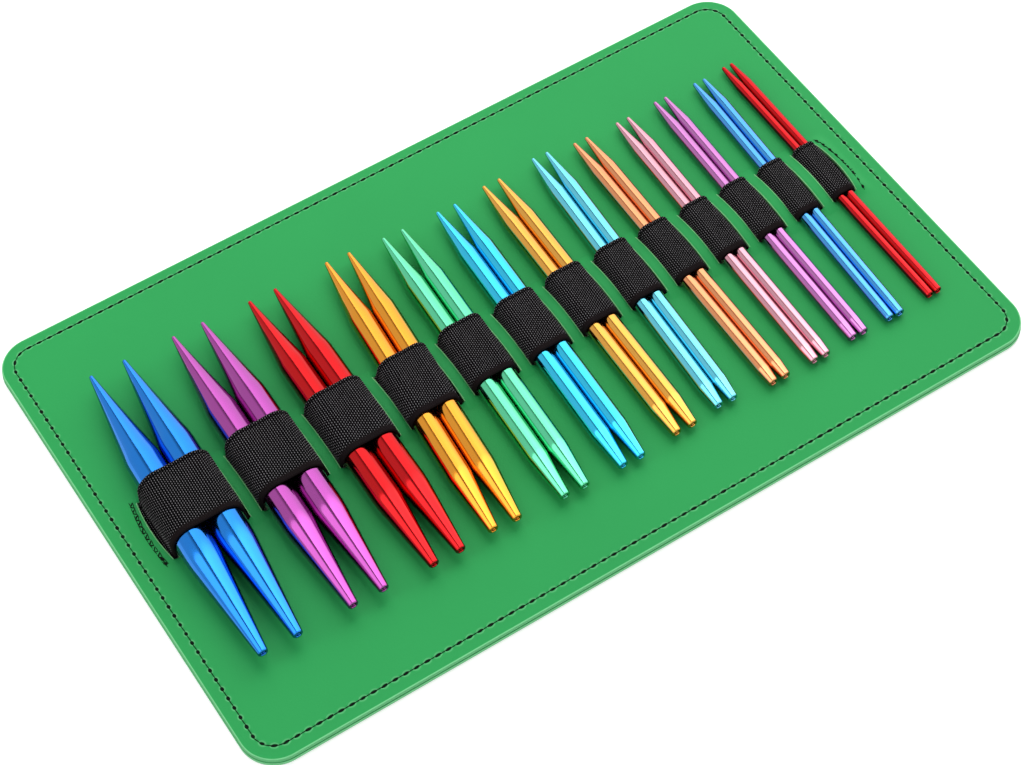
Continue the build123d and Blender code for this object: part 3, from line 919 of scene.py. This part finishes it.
def follow_tree(name):
    """Geometry Nodes: sets so many copies of a shape along a curve, turned to the curve and kept level."""
    tree, start = new_tree(
        name, Shape="Object", Count="Int", Turn="Float", Turn_Spread="Float", Size_Spread="Float",
        Lengthwise="Float", Material="Material",
    )
    curve = add_node(tree, "GeometryNodeMeshToCurve", Mesh=start["Geometry"])
    points = add_node(
        tree, "GeometryNodeCurveToPoints", {"mode": "COUNT"},
        Curve=curve.outputs["Curve"], Count=start["Count"],
    )
    shape = add_node(tree, "GeometryNodeObjectInfo", Object=start["Shape"])
    # Each copy is turned a little more or less than the row's own turn
    low = add_node(tree, "ShaderNodeMath", {"operation": "MULTIPLY"}, {0: start["Turn Spread"], 1: -1.0})
    spin = add_node(
        tree, "FunctionNodeRandomValue", {"data_type": "FLOAT"},
        Min=low.outputs[0], Max=start["Turn Spread"], Seed=7,
    )
    whole = add_node(tree, "ShaderNodeMath", {"operation": "ADD"}, {0: spin.outputs[1], 1: start["Turn"]})
    turn = add_node(tree, "ShaderNodeCombineXYZ", Z=whole.outputs[0])
    tangent = add_node(
        tree, "FunctionNodeAlignRotationToVector", {"axis": "X"}, Vector=points.outputs["Tangent"],
    )
    upright = add_node(
        tree, "FunctionNodeAlignRotationToVector", {"axis": "Z", "pivot_axis": "X"},
        Rotation=tangent.outputs["Rotation"], Vector=(0.0, 0.0, 1.0),
    )
    local = add_node(
        tree, "FunctionNodeRotateRotation", {"rotation_space": "LOCAL"},
        Rotation=upright.outputs["Rotation"], Rotate_By=turn.outputs["Vector"],
    )
    least = add_node(tree, "ShaderNodeMath", {"operation": "SUBTRACT"}, {0: 1.0, 1: start["Size Spread"]})
    most = add_node(tree, "ShaderNodeMath", {"operation": "ADD"}, {0: 1.0, 1: start["Size Spread"]})
    scale = add_node(
        tree, "FunctionNodeRandomValue", {"data_type": "FLOAT"},
        Min=least.outputs[0], Max=most.outputs[0], Seed=11,
    )
    # Where the row runs along the board, its stitches are drawn longer and narrower
    heading = add_node(tree, "ShaderNodeSeparateXYZ", Vector=points.outputs["Tangent"])
    level = add_node(tree, "ShaderNodeMath", {"operation": "ABSOLUTE"}, {0: heading.outputs["X"]})
    drawn = add_node(
        tree, "ShaderNodeMath", {"operation": "MULTIPLY_ADD"},
        {0: level.outputs[0], 1: start["Lengthwise"], 2: 1.0},
    )
    slimmed = add_node(tree, "ShaderNodeMath", {"operation": "POWER"}, {0: drawn.outputs[0], 1: -0.6})
    shaped = add_node(tree, "ShaderNodeCombineXYZ", X=drawn.outputs[0], Y=slimmed.outputs[0], Z=1.0)
    sized = add_node(
        tree, "ShaderNodeVectorMath", {"operation": "SCALE"},
        Vector=shaped.outputs["Vector"], Scale=scale.outputs[1],
    )
    copies = add_node(
        tree, "GeometryNodeInstanceOnPoints",
        Points=points.outputs["Points"], Instance=shape.outputs["Geometry"],
        Rotation=local.outputs["Rotation"], Scale=sized.outputs["Vector"],
    )
    return end_tree(tree, copies.outputs["Instances"], start["Material"])


def set_inputs(modifier, values):
    """Sets a Geometry Nodes modifier's inputs, each found by its socket's identifier."""
    for item in modifier.node_group.interface.items_tree:
        if item.item_type == "SOCKET" and item.in_out == "INPUT" and item.name in values:
            modifier[item.identifier] = values[item.name]


def path_object(name, points, closed):
    """A line of edges for stitches to follow."""
    mesh = bpy.data.meshes.new(name)
    count = len(points)
    edges = [(k, k + 1) for k in range(count - 1)]
    if closed:
        edges.append((count - 1, 0))
    mesh.from_pydata([tuple(p) for p in points], edges, [])
    path = bpy.data.objects.new(name, mesh)
    bpy.context.scene.collection.objects.link(path)
    return path


def sewn_row(name, points, closed, shape, count, tree, turn, turn_spread, size_spread, lengthwise=0.0):
    """A row of stitches along the points, as one plain mesh."""
    row = path_object(name, points, closed)
    modifier = row.modifiers.new("Stitches", "NODES")
    modifier.node_group = tree
    set_inputs(modifier, {
        "Shape": shape, "Count": count, "Turn": turn, "Turn Spread": turn_spread, "Size Spread": size_spread,
        "Lengthwise": lengthwise, "Material": shape.data.materials[0],
    })
    return plain_mesh(row)


def join_pieces(name, pieces):
    """Joins plain meshes into one piece that keeps their materials."""
    materials = []
    for piece in pieces:
        if piece.data.materials[0] not in materials:
            materials.append(piece.data.materials[0])
    bm = bmesh.new()
    for piece in pieces:
        before = len(bm.faces)
        bm.from_mesh(piece.data)
        bm.faces.ensure_lookup_table()
        for face in bm.faces[before:]:
            face.material_index = materials.index(piece.data.materials[0])
            face.smooth = True
    mesh = bpy.data.meshes.new(name)
    bm.to_mesh(mesh)
    bm.free()
    for material in materials:
        mesh.materials.append(material)
    joined = bpy.data.objects.new(name, mesh)
    bpy.context.scene.collection.objects.link(joined)
    for piece in pieces:
        bpy.data.objects.remove(piece)
    return joined


def anchor_line(side, shift, low, high):
    """A line across one raised end for its stitches, pulled outward in the middle as the sheet is."""
    points = []
    for y in np.linspace(high, low, 25):
        share = (y + ANCHOR_HALF) / (2 * ANCHOR_HALF)
        bow = ANCHOR_BOW * max(0.0, 1.0 - (y / SLIT_HALF) ** 2)
        away = ANCHOR_AWAY[0] + (ANCHOR_AWAY[1] - ANCHOR_AWAY[0]) * share + bow + shift
        x = ROW_START - away if side == "left" else ROW_END + away
        # The sheet's own place before its end was pulled outward, found step by step
        flat = x
        for _ in range(6):
            flat = x - end_bow(flat, y)
        points.append(Vector((x, y, COVER_TOP + end_height(flat, y) + ANCHOR_LIFT)))
    return points


class SewStitches(bpy.types.Operator):
    """Sews the edge seam on both faces and the two back-stitched rows that hold the band's ends"""

    bl_idname = "needle_set.stitches"
    bl_label = "Stitching"

    def execute(self, context):
        settings = context.scene.needle_set_leather
        edge_thread = sewing_thread("edge_thread", settings.thread_colour)
        # Painted shade: the knots at each hole and the anchor rows' tacks and blobs take a near-black colour
        # for the shade in the holes
        knot_thread = sewing_thread("knot_thread", settings.hole_shade_colour)
        anchor_thread = sewing_thread("anchor_thread", settings.hole_shade_colour)
        yarns = {"knot": knot_thread, "tack": anchor_thread, "link": edge_thread, "blob": anchor_thread}
        shapes = {}
        for name, (length, width, dip, flat) in STITCHES.items():
            shapes[name] = stitch_shape(f"{name}_shape", length, width, dip, yarns[name], flat)
        pitch = settings.stitch_pitch
        thread = stitch_shape("thread_shape", pitch * THREAD_SHARE, THREAD_WIDTH, THREAD_DIP, edge_thread)
        tree = follow_tree("Stitch row")
        stations = outline_stations(SEAM_INSET, pitch, SEAM_PARTS)
        count = len(stations) // SEAM_PARTS
        half = SEAM_PARTS // 2
        for name, node, height, sink in (
            ("edge_seam_top", "edge_thread_top", COVER_TOP - TOP_THREAD_SINK, KNOT_SINK),
            ("edge_seam_bottom", "edge_thread_bottom", BACK_THREAD_LEVEL, 0.0),
        ):
            middle_line = [Vector((*place, height)) for place, _ in stations[half:] + stations[:half]]
            hole_line = [Vector((*place, height - sink)) for place, _ in stations]
            threads = sewn_row(
                f"{name}_threads", middle_line, True, thread, count, tree,
                turn=0.06, turn_spread=0.03, size_spread=0.02,
            )
            knots = sewn_row(
                f"{name}_knots", hole_line, True, shapes["knot"], count, tree,
                turn=0.08, turn_spread=0.12, size_spread=0.1, lengthwise=0.6,
            )
            seam = join_pieces(name, [threads, knots])
            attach(seam, BOARD_BODY)
            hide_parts(node)
        for side, rows in ANCHOR_ROWS.items():
            made = []
            for number, (shape, shift, low, high, amount, turn, spread) in enumerate(rows):
                points = anchor_line(side, shift * MM, low * MM, high * MM)
                name = f"anchor_{side}_{number}"
                made.append(sewn_row(name, points, False, shapes[shape], amount, tree, turn, spread, 0.15))
            row = join_pieces(f"anchor_row_{side}", made)
            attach(row, BOARD_BODY)
            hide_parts(f"anchor_stitching_{side}")
        for shape in (thread, *shapes.values()):
            bpy.data.objects.remove(shape)
        return {"FINISHED"}


# Elastic


def band_line(loop):
    """Middle line of the band through one loop, as points in X and Z with rounded turns at the slits."""
    height = STIFFENER_TOP + BAND_THICKNESS / 2
    middle = loop["middle"]
    reach = loop["leg"] - BAND_THICKNESS / 2 + BAND_TURN
    radius = loop["radius"] + LOOP_CLEARANCE + BAND_THICKNESS / 2 - HUG
    top = loop["centre_z"] + radius
    needle_x = loop["radius"] + PAIR_GAP / 2
    points = [(loop["start"], height), (middle - reach, height)]
    for k in range(1, 7):
        angle = math.radians(15 * k)
        x = middle - reach + BAND_TURN * math.sin(angle)
        points.append((x, height + BAND_TURN * (1 - math.cos(angle))))
    for k in range(13):
        angle = math.radians(7.5 * k)
        x = middle - needle_x - radius * math.cos(angle)
        points.append((x, loop["centre_z"] + radius * math.sin(angle)))
    sag = BAND_SAG * min(1.0, loop["radius"] / FULL_SAG_RADIUS)
    for share in (0.25, 0.5, 0.75):
        points.append((middle - needle_x + 2 * needle_x * share, top - sag * math.sin(math.pi * share)))
    mirrored = [(2 * middle - x, z) for x, z in reversed(points[2:-3])]
    return np.array(points + mirrored + [(middle + reach, height), (loop["end"], height)])


def resample(points, step):
    """Points at even steps along a line, each with the way square to it."""
    travel = np.concatenate([[0], np.cumsum(np.hypot(*np.diff(points, axis=0).T))])
    count = max(8, round(travel[-1] / step))
    at = np.linspace(0, travel[-1], count + 1)
    x = np.interp(at, travel, points[:, 0])
    z = np.interp(at, travel, points[:, 1])
    dx, dz = np.gradient(x, at), np.gradient(z, at)
    size = np.hypot(dx, dz)
    return at, x, z, -dz / size, dx / size


def band_section(half, thick):
    """The band's section as a closed ring of places across and over it, finer at the line by one edge."""
    flat = half - BAND_ROUND
    bend = np.linspace(0.4, math.pi - 0.4, 5)
    ring = [(y, thick) for y in np.linspace(-flat, half - FINE_ROWS[0], 42)]
    ring += [(y, thick) for y in np.linspace(half - FINE_ROWS[1], flat, 12)]
    ring += [(flat + BAND_ROUND * math.sin(a), thick * math.cos(a)) for a in bend]
    ring += [(y, -thick) for y in np.linspace(flat, -flat, 12)]
    return ring + [(-flat - BAND_ROUND * math.sin(a), -thick * math.cos(a)) for a in bend]


def band_mesh(name, loop, bulge, settings, material):
    """One loop of elastic as a closed strap, with its length and width counted in ribs and knots."""
    pitch = settings.rib_pitch + settings.rib_stretch * (2 * loop["radius"])
    at, xs, zs, nx, nz = resample(band_line(loop), pitch / 5)
    half = BAND_HALF
    ring = band_section(half, BAND_THICKNESS / 2)
    knee = COVER_TOP + BULGE_START
    vertices, weave, selvage, groove = [], [], [], []
    for travel, x, z, ux, uz in zip(at, xs, zs, nx, nz):
        rise = min(max((z - knee) / (loop["centre_z"] - knee), 0.0), 1.0)
        lean = loop["lean"] * rise
        for y, level in ring:
            pushed = y * (1 + rise * (bulge[0] if y < 0 else bulge[1]) * MM / half)
            vertices.append((x + ux * level + pushed * lean, pushed, z + uz * level))
            weave.append((travel / pitch, y / settings.stitch_pitch))
            selvage.append(smooth_step((SELVAGE - half - y) / SELVAGE_FADE))
            groove.append(bell((y - half + LINE_INSET) / LINE_WIDTH))
    size = len(ring)
    faces = []
    for k in range(len(at) - 1):
        for s in range(size):
            a, b = k * size + s, k * size + (s + 1) % size
            faces.append((a, a + size, b + size, b))
    faces.append(tuple(range(size)))
    faces.append(tuple(reversed(range((len(at) - 1) * size, len(at) * size))))
    band = mesh_object(name, vertices, faces, material, 70.0)
    mesh = band.data
    corners = np.zeros(len(mesh.loops), dtype=np.int32)
    mesh.loops.foreach_get("vertex_index", corners)
    layer = mesh.uv_layers.new(name="weave")
    layer.data.foreach_set("uv", np.array(weave, dtype=np.float32)[corners].ravel())
    ribs = [(u, line, edge) for (u, _), line, edge in zip(weave, groove, selvage)]
    for label, kind, field, values in (
        ("selvage", "FLOAT", "value", selvage),
        ("groove", "FLOAT", "value", groove),
        ("ribs", "FLOAT_VECTOR", "vector", ribs),
    ):
        made = mesh.attributes.new(label, kind, "POINT")
        made.data.foreach_set(field, np.array(values, dtype=np.float32).ravel())
    return band


def rib_tree():
    """Geometry Nodes: raises the elastic's ribs, less so on its front selvage, and sinks its back line."""
    tree, start = new_tree("Elastic ribs", Relief="Float", Material="Material")
    counted = add_node(tree, "GeometryNodeInputNamedAttribute", {"data_type": "FLOAT_VECTOR"}, Name="ribs")
    split = add_node(tree, "ShaderNodeSeparateXYZ", Vector=counted.outputs[0])
    angle = add_node(
        tree, "ShaderNodeMath", {"operation": "MULTIPLY"}, {0: split.outputs["X"], 1: 2 * math.pi},
    )
    wave = add_node(tree, "ShaderNodeMath", {"operation": "COSINE"}, {0: angle.outputs[0]})
    strength = add_node(
        tree, "ShaderNodeMapRange", Value=split.outputs["Z"],
        From_Min=0.0, From_Max=1.0, To_Min=0.5, To_Max=0.12,
    )
    sunk = add_node(tree, "ShaderNodeMath", {"operation": "MULTIPLY"}, {0: split.outputs["Y"], 1: -1.7})
    level = add_node(
        tree, "ShaderNodeMath", {"operation": "MULTIPLY_ADD"},
        {0: wave.outputs[0], 1: strength.outputs["Result"], 2: sunk.outputs[0]},
    )
    height = add_node(
        tree, "ShaderNodeMath", {"operation": "MULTIPLY"}, {0: level.outputs[0], 1: start["Relief"]},
    )
    normal = add_node(tree, "GeometryNodeInputNormal")
    offset = add_node(
        tree, "ShaderNodeVectorMath", {"operation": "SCALE"},
        Vector=normal.outputs["Normal"], Scale=height.outputs[0],
    )
    moved = add_node(
        tree, "GeometryNodeSetPosition", Geometry=start["Geometry"], Offset=offset.outputs["Vector"],
    )
    return end_tree(tree, moved.outputs["Geometry"], start["Material"])


class WeaveElastic(bpy.types.Operator):
    """Weaves the elastic through the slits and over each pair of needle points"""

    bl_idname = "needle_set.elastic"
    bl_label = "Elastic loops"

    def execute(self, context):
        settings = context.scene.needle_set_elastic
        material = knitted_elastic(settings)
        tree = rib_tree()
        for (size, *_), loop, bulge in zip(PAIRS, LOOPS, BULGES):
            band = band_mesh(f"elastic_over_{size}mm", loop, bulge, settings, material)
            modifier = band.modifiers.new("Ribs", "NODES")
            modifier.node_group = tree
            set_inputs(modifier, {"Relief": settings.relief, "Material": material})
            plain_mesh(band)
            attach(band, BOARD_BODY)
            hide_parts(f"elastic_loop_{size}mm")
        return {"FINISHED"}


# Needle points


def arc_between(before, corner, after, radius, steps):
    """Points of the arc that rounds a corner of a profile."""
    corner = Vector(corner)
    a = (Vector(before) - corner).normalized()
    b = (Vector(after) - corner).normalized()
    half = a.angle(b) / 2
    reach = radius / math.tan(half)
    centre = corner + (a + b).normalized() * (radius / math.sin(half))
    arm_a, arm_b = corner + a * reach - centre, corner + b * reach - centre
    sweep = arm_a.angle(arm_b)
    points = []
    for k in range(steps + 1):
        share = k / steps
        arm = (arm_a * math.sin((1 - share) * sweep) + arm_b * math.sin(share * sweep)) / math.sin(sweep)
        points.append(centre + arm)
    return points


def needle_profile(facts, settings):
    """Places along the axis and radii, from the hole's mouth round the tail and by the shank to the nose."""
    radius, length = facts["radius"], facts["length"]
    tail_radius = min(facts["hole_radius"] + TAIL_WALL, radius - TAIL_STEP)
    tail_length = max((radius - tail_radius) / TAIL_SLOPE, TAIL_MIN_LENGTH)
    point_length = POINT_RATIO * 2 * radius
    nose_x = length - NOSE_RADIUS
    run = point_length - NOSE_RADIUS
    cone = math.atan2(radius, run) - math.asin(NOSE_RADIUS / math.hypot(radius, run))
    tangent = Vector((nose_x + NOSE_RADIUS * math.sin(cone), NOSE_RADIUS * math.cos(cone)))
    tail_corner = (tail_length, radius)
    point_corner = (length - point_length, radius)
    rim, start = (0, tail_radius - TAIL_CHAMFER), (TAIL_CHAMFER, tail_radius)
    rounded = TAIL_CHAMFER * 0.2
    slim = radius / THICKEST
    tail_arc = arc_between(start, tail_corner, point_corner, TAIL_SHOULDER * slim ** 2, 14)
    point_arc = arc_between(tail_corner, point_corner, tangent, POINT_SHOULDER * slim, 14)
    profile = [Vector((0.0, facts["hole_radius"] + settings.mouth))]
    profile += arc_between((0, 0), rim, start, rounded, 3) + arc_between(rim, start, tail_corner, rounded, 3)
    profile += [profile[-1].lerp(tail_arc[0], share) for share in (0.1, 0.5, 0.9)]
    profile += tail_arc
    profile += [tail_arc[-1].lerp(point_arc[0], share) for share in (0.05, 0.35, 0.65, 0.95)]
    profile += point_arc
    profile += [point_arc[-1].lerp(tangent, share) for share in (0.1, 0.4, 0.7, 0.95)]
    for k in range(9):
        angle = cone + (math.pi / 2 - cone) * k / 9
        profile.append((nose_x + NOSE_RADIUS * math.sin(angle), NOSE_RADIUS * math.cos(angle)))
    return profile


def needle_mesh(name, facts, settings, material):
    """A needle point turned from its profile, closed at the nose, with a tapped hole in its tail."""
    sides = NEEDLE_SIDES
    tail, along, up = facts["tail"], facts["along"], Vector((0, 0, 1))
    across = up.cross(along).normalized()
    turns = [2 * math.pi * s / sides for s in range(sides)]
    arms = [across * math.cos(turn) + up * math.sin(turn) for turn in turns]
    pitch, depth = settings.thread_pitch, facts["hole_depth"]
    threaded = depth * THREADED_SHARE
    steps = round(threaded / (pitch / 5))
    inside = [depth, depth * (THREADED_SHARE + 0.02)] + [threaded * (1 - k / steps) for k in range(steps)]
    vertices, faces = [], []
    for x in inside:
        if x < settings.mouth * 0.9:
            continue
        ease = smooth_step(min((x - settings.mouth) / pitch, (threaded * 1.02 - x) / pitch))
        for s, arm in enumerate(arms):
            phase = (x / pitch - s / sides) % 1.0
            cut = settings.thread_depth * ease * (1 - abs(2 * phase - 1))
            vertices.append(tail + along * x + arm * (facts["hole_radius"] + cut))
    for x, radius in needle_profile(facts, settings):
        vertices += [tail + along * x + arm * radius for arm in arms]
    last = len(vertices) - sides
    for ring in range(0, last, sides):
        for s in range(sides):
            a, b = ring + s, ring + (s + 1) % sides
            faces.append((a, a + sides, b + sides, b))
    nose, bottom = len(vertices), len(vertices) + 1
    vertices += [tail + along * facts["length"], tail + along * (depth + DRILL_POINT)]
    for s in range(sides):
        faces.append((last + s, nose, last + (s + 1) % sides))
        faces.append((s, (s + 1) % sides, bottom))
    piece = mesh_object(name, vertices, faces, material, NEEDLE_CREASE)
    bm = bmesh.new()
    bm.from_mesh(piece.data)
    bmesh.ops.remove_doubles(bm, verts=bm.verts, dist=1e-7)
    bmesh.ops.recalc_face_normals(bm, faces=bm.faces)
    bm.to_mesh(piece.data)
    bm.free()
    piece.data.set_sharp_from_angle(angle=math.radians(NEEDLE_CREASE))
    return piece


class TurnNeedles(bpy.types.Operator):
    """Turns the twenty-six needle points and anodises each pair in its colour"""

    bl_idname = "needle_set.needles"
    bl_label = "Needle points"

    def execute(self, context):
        settings = context.scene.needle_set_needles
        for size, dye, colour, clearness in PAIRS:
            material = anodised_aluminium(f"anodised_aluminium_{dye}", colour, clearness, settings)
            for side in ("left", "right"):
                node = f"needle_{size}mm_{side}"
                point = needle_mesh(f"point_{size}mm_{side}", needle_facts(size, side), settings, material)
                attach(point, node)
                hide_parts(node)
        return {"FINISHED"}


# Stage


def shine(name, radiance, fall=0.0, near=1.0):
    """A glowing card's material: dimmer at its foot by the given fall, and stronger by the needles' tails."""
    material = bpy.data.materials.new(name)
    material.use_nodes = True
    tree = material.node_tree
    tree.nodes.clear()
    place = add_node(tree, "ShaderNodeTexCoord")
    split = add_node(tree, "ShaderNodeSeparateXYZ", Vector=place.outputs["Generated"])
    level = add_node(
        tree, "ShaderNodeMapRange", Value=split.outputs["Z"],
        To_Min=radiance * (1 - fall), To_Max=radiance * (1 + fall),
    )
    end = add_node(
        tree, "ShaderNodeMapRange", {"interpolation_type": "SMOOTHSTEP"}, Value=split.outputs["Y"],
        From_Min=0.15, From_Max=0.3, To_Min=near, To_Max=1.0,
    )
    both = add_node(
        tree, "ShaderNodeMath", {"operation": "MULTIPLY"}, {0: level.outputs[0], 1: end.outputs[0]},
    )
    glow = add_node(tree, "ShaderNodeEmission", Strength=both.outputs[0])
    add_node(tree, "ShaderNodeOutputMaterial", Surface=glow.outputs["Emission"])
    return material


def stage_card(name, corners, material):
    """A card that lights the object and shows in its reflections, but not to the camera."""
    card = mesh_object(name, corners, [(0, 1, 2, 3)], material)
    card.visible_camera = False


def long_card(name, place, material):
    """A card whose long edges run along Y, from a high to a low line, each given by its X and Z."""
    (high_x, high_z), (low_x, low_z), start, end = place
    corners = [(high_x, start, high_z), (high_x, end, high_z), (low_x, end, low_z), (low_x, start, low_z)]
    stage_card(name, corners, material)


def white_seen(tree):
    """One where the camera, a mirror or glass sees a surface, and nought elsewhere."""
    path = add_node(tree, "ShaderNodeLightPath").outputs
    seen = path["Is Camera Ray"]
    for ray in ("Is Glossy Ray", "Is Transmission Ray"):
        seen = add_node(tree, "ShaderNodeMath", {"operation": "MAXIMUM"}, {0: seen, 1: path[ray]}).outputs[0]
    return seen


class SetStage(bpy.types.Operator):
    """Sets the pale floor, the white room, the softboxes and the camera"""

    bl_idname = "needle_set.stage"
    bl_label = "Stage"

    def execute(self, context):
        settings = context.scene.needle_set_stage
        scene = context.scene
        scene.view_settings.view_transform = "Standard"
        world = bpy.data.worlds.new("white_room")
        scene.world = world
        world.use_nodes = True
        tree = world.node_tree
        tree.nodes.clear()
        strength = add_node(
            tree, "ShaderNodeMapRange", Value=white_seen(tree), To_Min=settings.ambient, To_Max=1.0,
        )
        glow = add_node(
            tree, "ShaderNodeBackground", Strength=strength.outputs["Result"], Color=linear("#FFFFFF"),
        )
        add_node(tree, "ShaderNodeOutputWorld", Surface=glow.outputs["Background"])

        material, tree, shader = new_material(
            "pale_floor", Base_Color=linear("#C8C8C8"), Roughness=0.9, Specular_IOR_Level=0.0,
            Emission_Color=linear("#FFFFFF"),
        )
        # Far off the floor is seen as white as the room, and near by it is a little darker under its light
        place = add_node(tree, "ShaderNodeTexCoord")
        away = add_node(tree, "ShaderNodeVectorMath", {"operation": "LENGTH"}, Vector=place.outputs["Object"])
        white = add_node(
            tree, "ShaderNodeMapRange", {"interpolation_type": "SMOOTHSTEP"}, Value=away.outputs["Value"],
            From_Min=0.5, From_Max=1.6, To_Min=0.68, To_Max=1.0,
        )
        lift = add_node(
            tree, "ShaderNodeMath", {"operation": "MULTIPLY"},
            {0: white.outputs["Result"], 1: white_seen(tree)},
        )
        tree.links.new(lift.outputs[0], shader.inputs["Emission Strength"])
        reach = FLOOR_REACH
        corners = [(a * reach, b * reach, -FLOOR_DROP) for a, b in ((-1, -1), (1, -1), (1, 1), (-1, 1))]
        mesh_object("floor", corners, [(0, 1, 2, 3)], material)

        long_card("key_softbox", KEY_CARD, shine("key_softbox_cloth", settings.key, fall=0.28, near=1.6))
        long_card("softbox_frame", FRAME_CARD, shine("softbox_frame_cloth", settings.frame_shade, fall=-0.8))
        long_card("top_softbox", TOP_CARD, shine("top_softbox_cloth", settings.top))
        side, y, low, high = FRONT_CARD
        corners = [(-side, y, low), (side, y, low), (side, y, high), (-side, y, high)]
        stage_card("front_strip", corners, shine("front_strip_cloth", settings.front))

        lens = bpy.data.cameras.new("photo_camera")
        lens.lens = CAMERA_LENS
        lens.sensor_width = SENSOR_WIDTH
        lens.clip_start = 0.01
        camera = bpy.data.objects.new("photo_camera", lens)
        scene.collection.objects.link(camera)
        back = CAMERA_RIGHT.cross(CAMERA_UP)
        turn = Matrix((CAMERA_RIGHT, CAMERA_UP, back)).transposed().to_4x4()
        camera.matrix_world = Matrix.Translation(CAMERA_PLACE) @ turn
        scene.camera = camera
        return {"FINISHED"}


class NEEDLE_SET_PT_panel(bpy.types.Panel):
    """Lists the settings and the steps that build the set"""

    bl_label = "Needle set"
    bl_idname = "NEEDLE_SET_PT_panel"
    bl_space_type = "VIEW_3D"
    bl_region_type = "UI"
    bl_category = "Needle set"

    def draw(self, context):
        for operator, group in (
            (BuildCovers, "needle_set_leather"),
            (SewStitches, None),
            (WeaveElastic, "needle_set_elastic"),
            (TurnNeedles, "needle_set_needles"),
            (SetStage, "needle_set_stage"),
        ):
            box = self.layout.box()
            box.operator(operator.bl_idname)
            if group:
                settings = getattr(context.scene, group)
                for key in settings.__annotations__:
                    box.prop(settings, key)


SETTINGS = {
    "needle_set_leather": LeatherSettings,
    "needle_set_elastic": ElasticSettings,
    "needle_set_needles": NeedleSettings,
    "needle_set_stage": StageSettings,
}
OPERATORS = (BuildCovers, SewStitches, WeaveElastic, TurnNeedles, SetStage)


def register():
    """Registers the settings, the operators and the panel."""
    for name, group in SETTINGS.items():
        bpy.utils.register_class(group)
        setattr(bpy.types.Scene, name, bpy.props.PointerProperty(type=group))
    for operator in OPERATORS:
        bpy.utils.register_class(operator)
    bpy.utils.register_class(NEEDLE_SET_PT_panel)


def unregister():
    """Takes out what register put in."""
    bpy.utils.unregister_class(NEEDLE_SET_PT_panel)
    for operator in reversed(OPERATORS):
        bpy.utils.unregister_class(operator)
    for name, group in SETTINGS.items():
        delattr(bpy.types.Scene, name)
        bpy.utils.unregister_class(group)


def main():
    """Builds every piece and the stage."""
    register()
    bpy.ops.needle_set.covers()
    bpy.ops.needle_set.stitches()
    bpy.ops.needle_set.elastic()
    bpy.ops.needle_set.needles()
    bpy.ops.needle_set.stage()


if __name__ == "__main__":
    main()
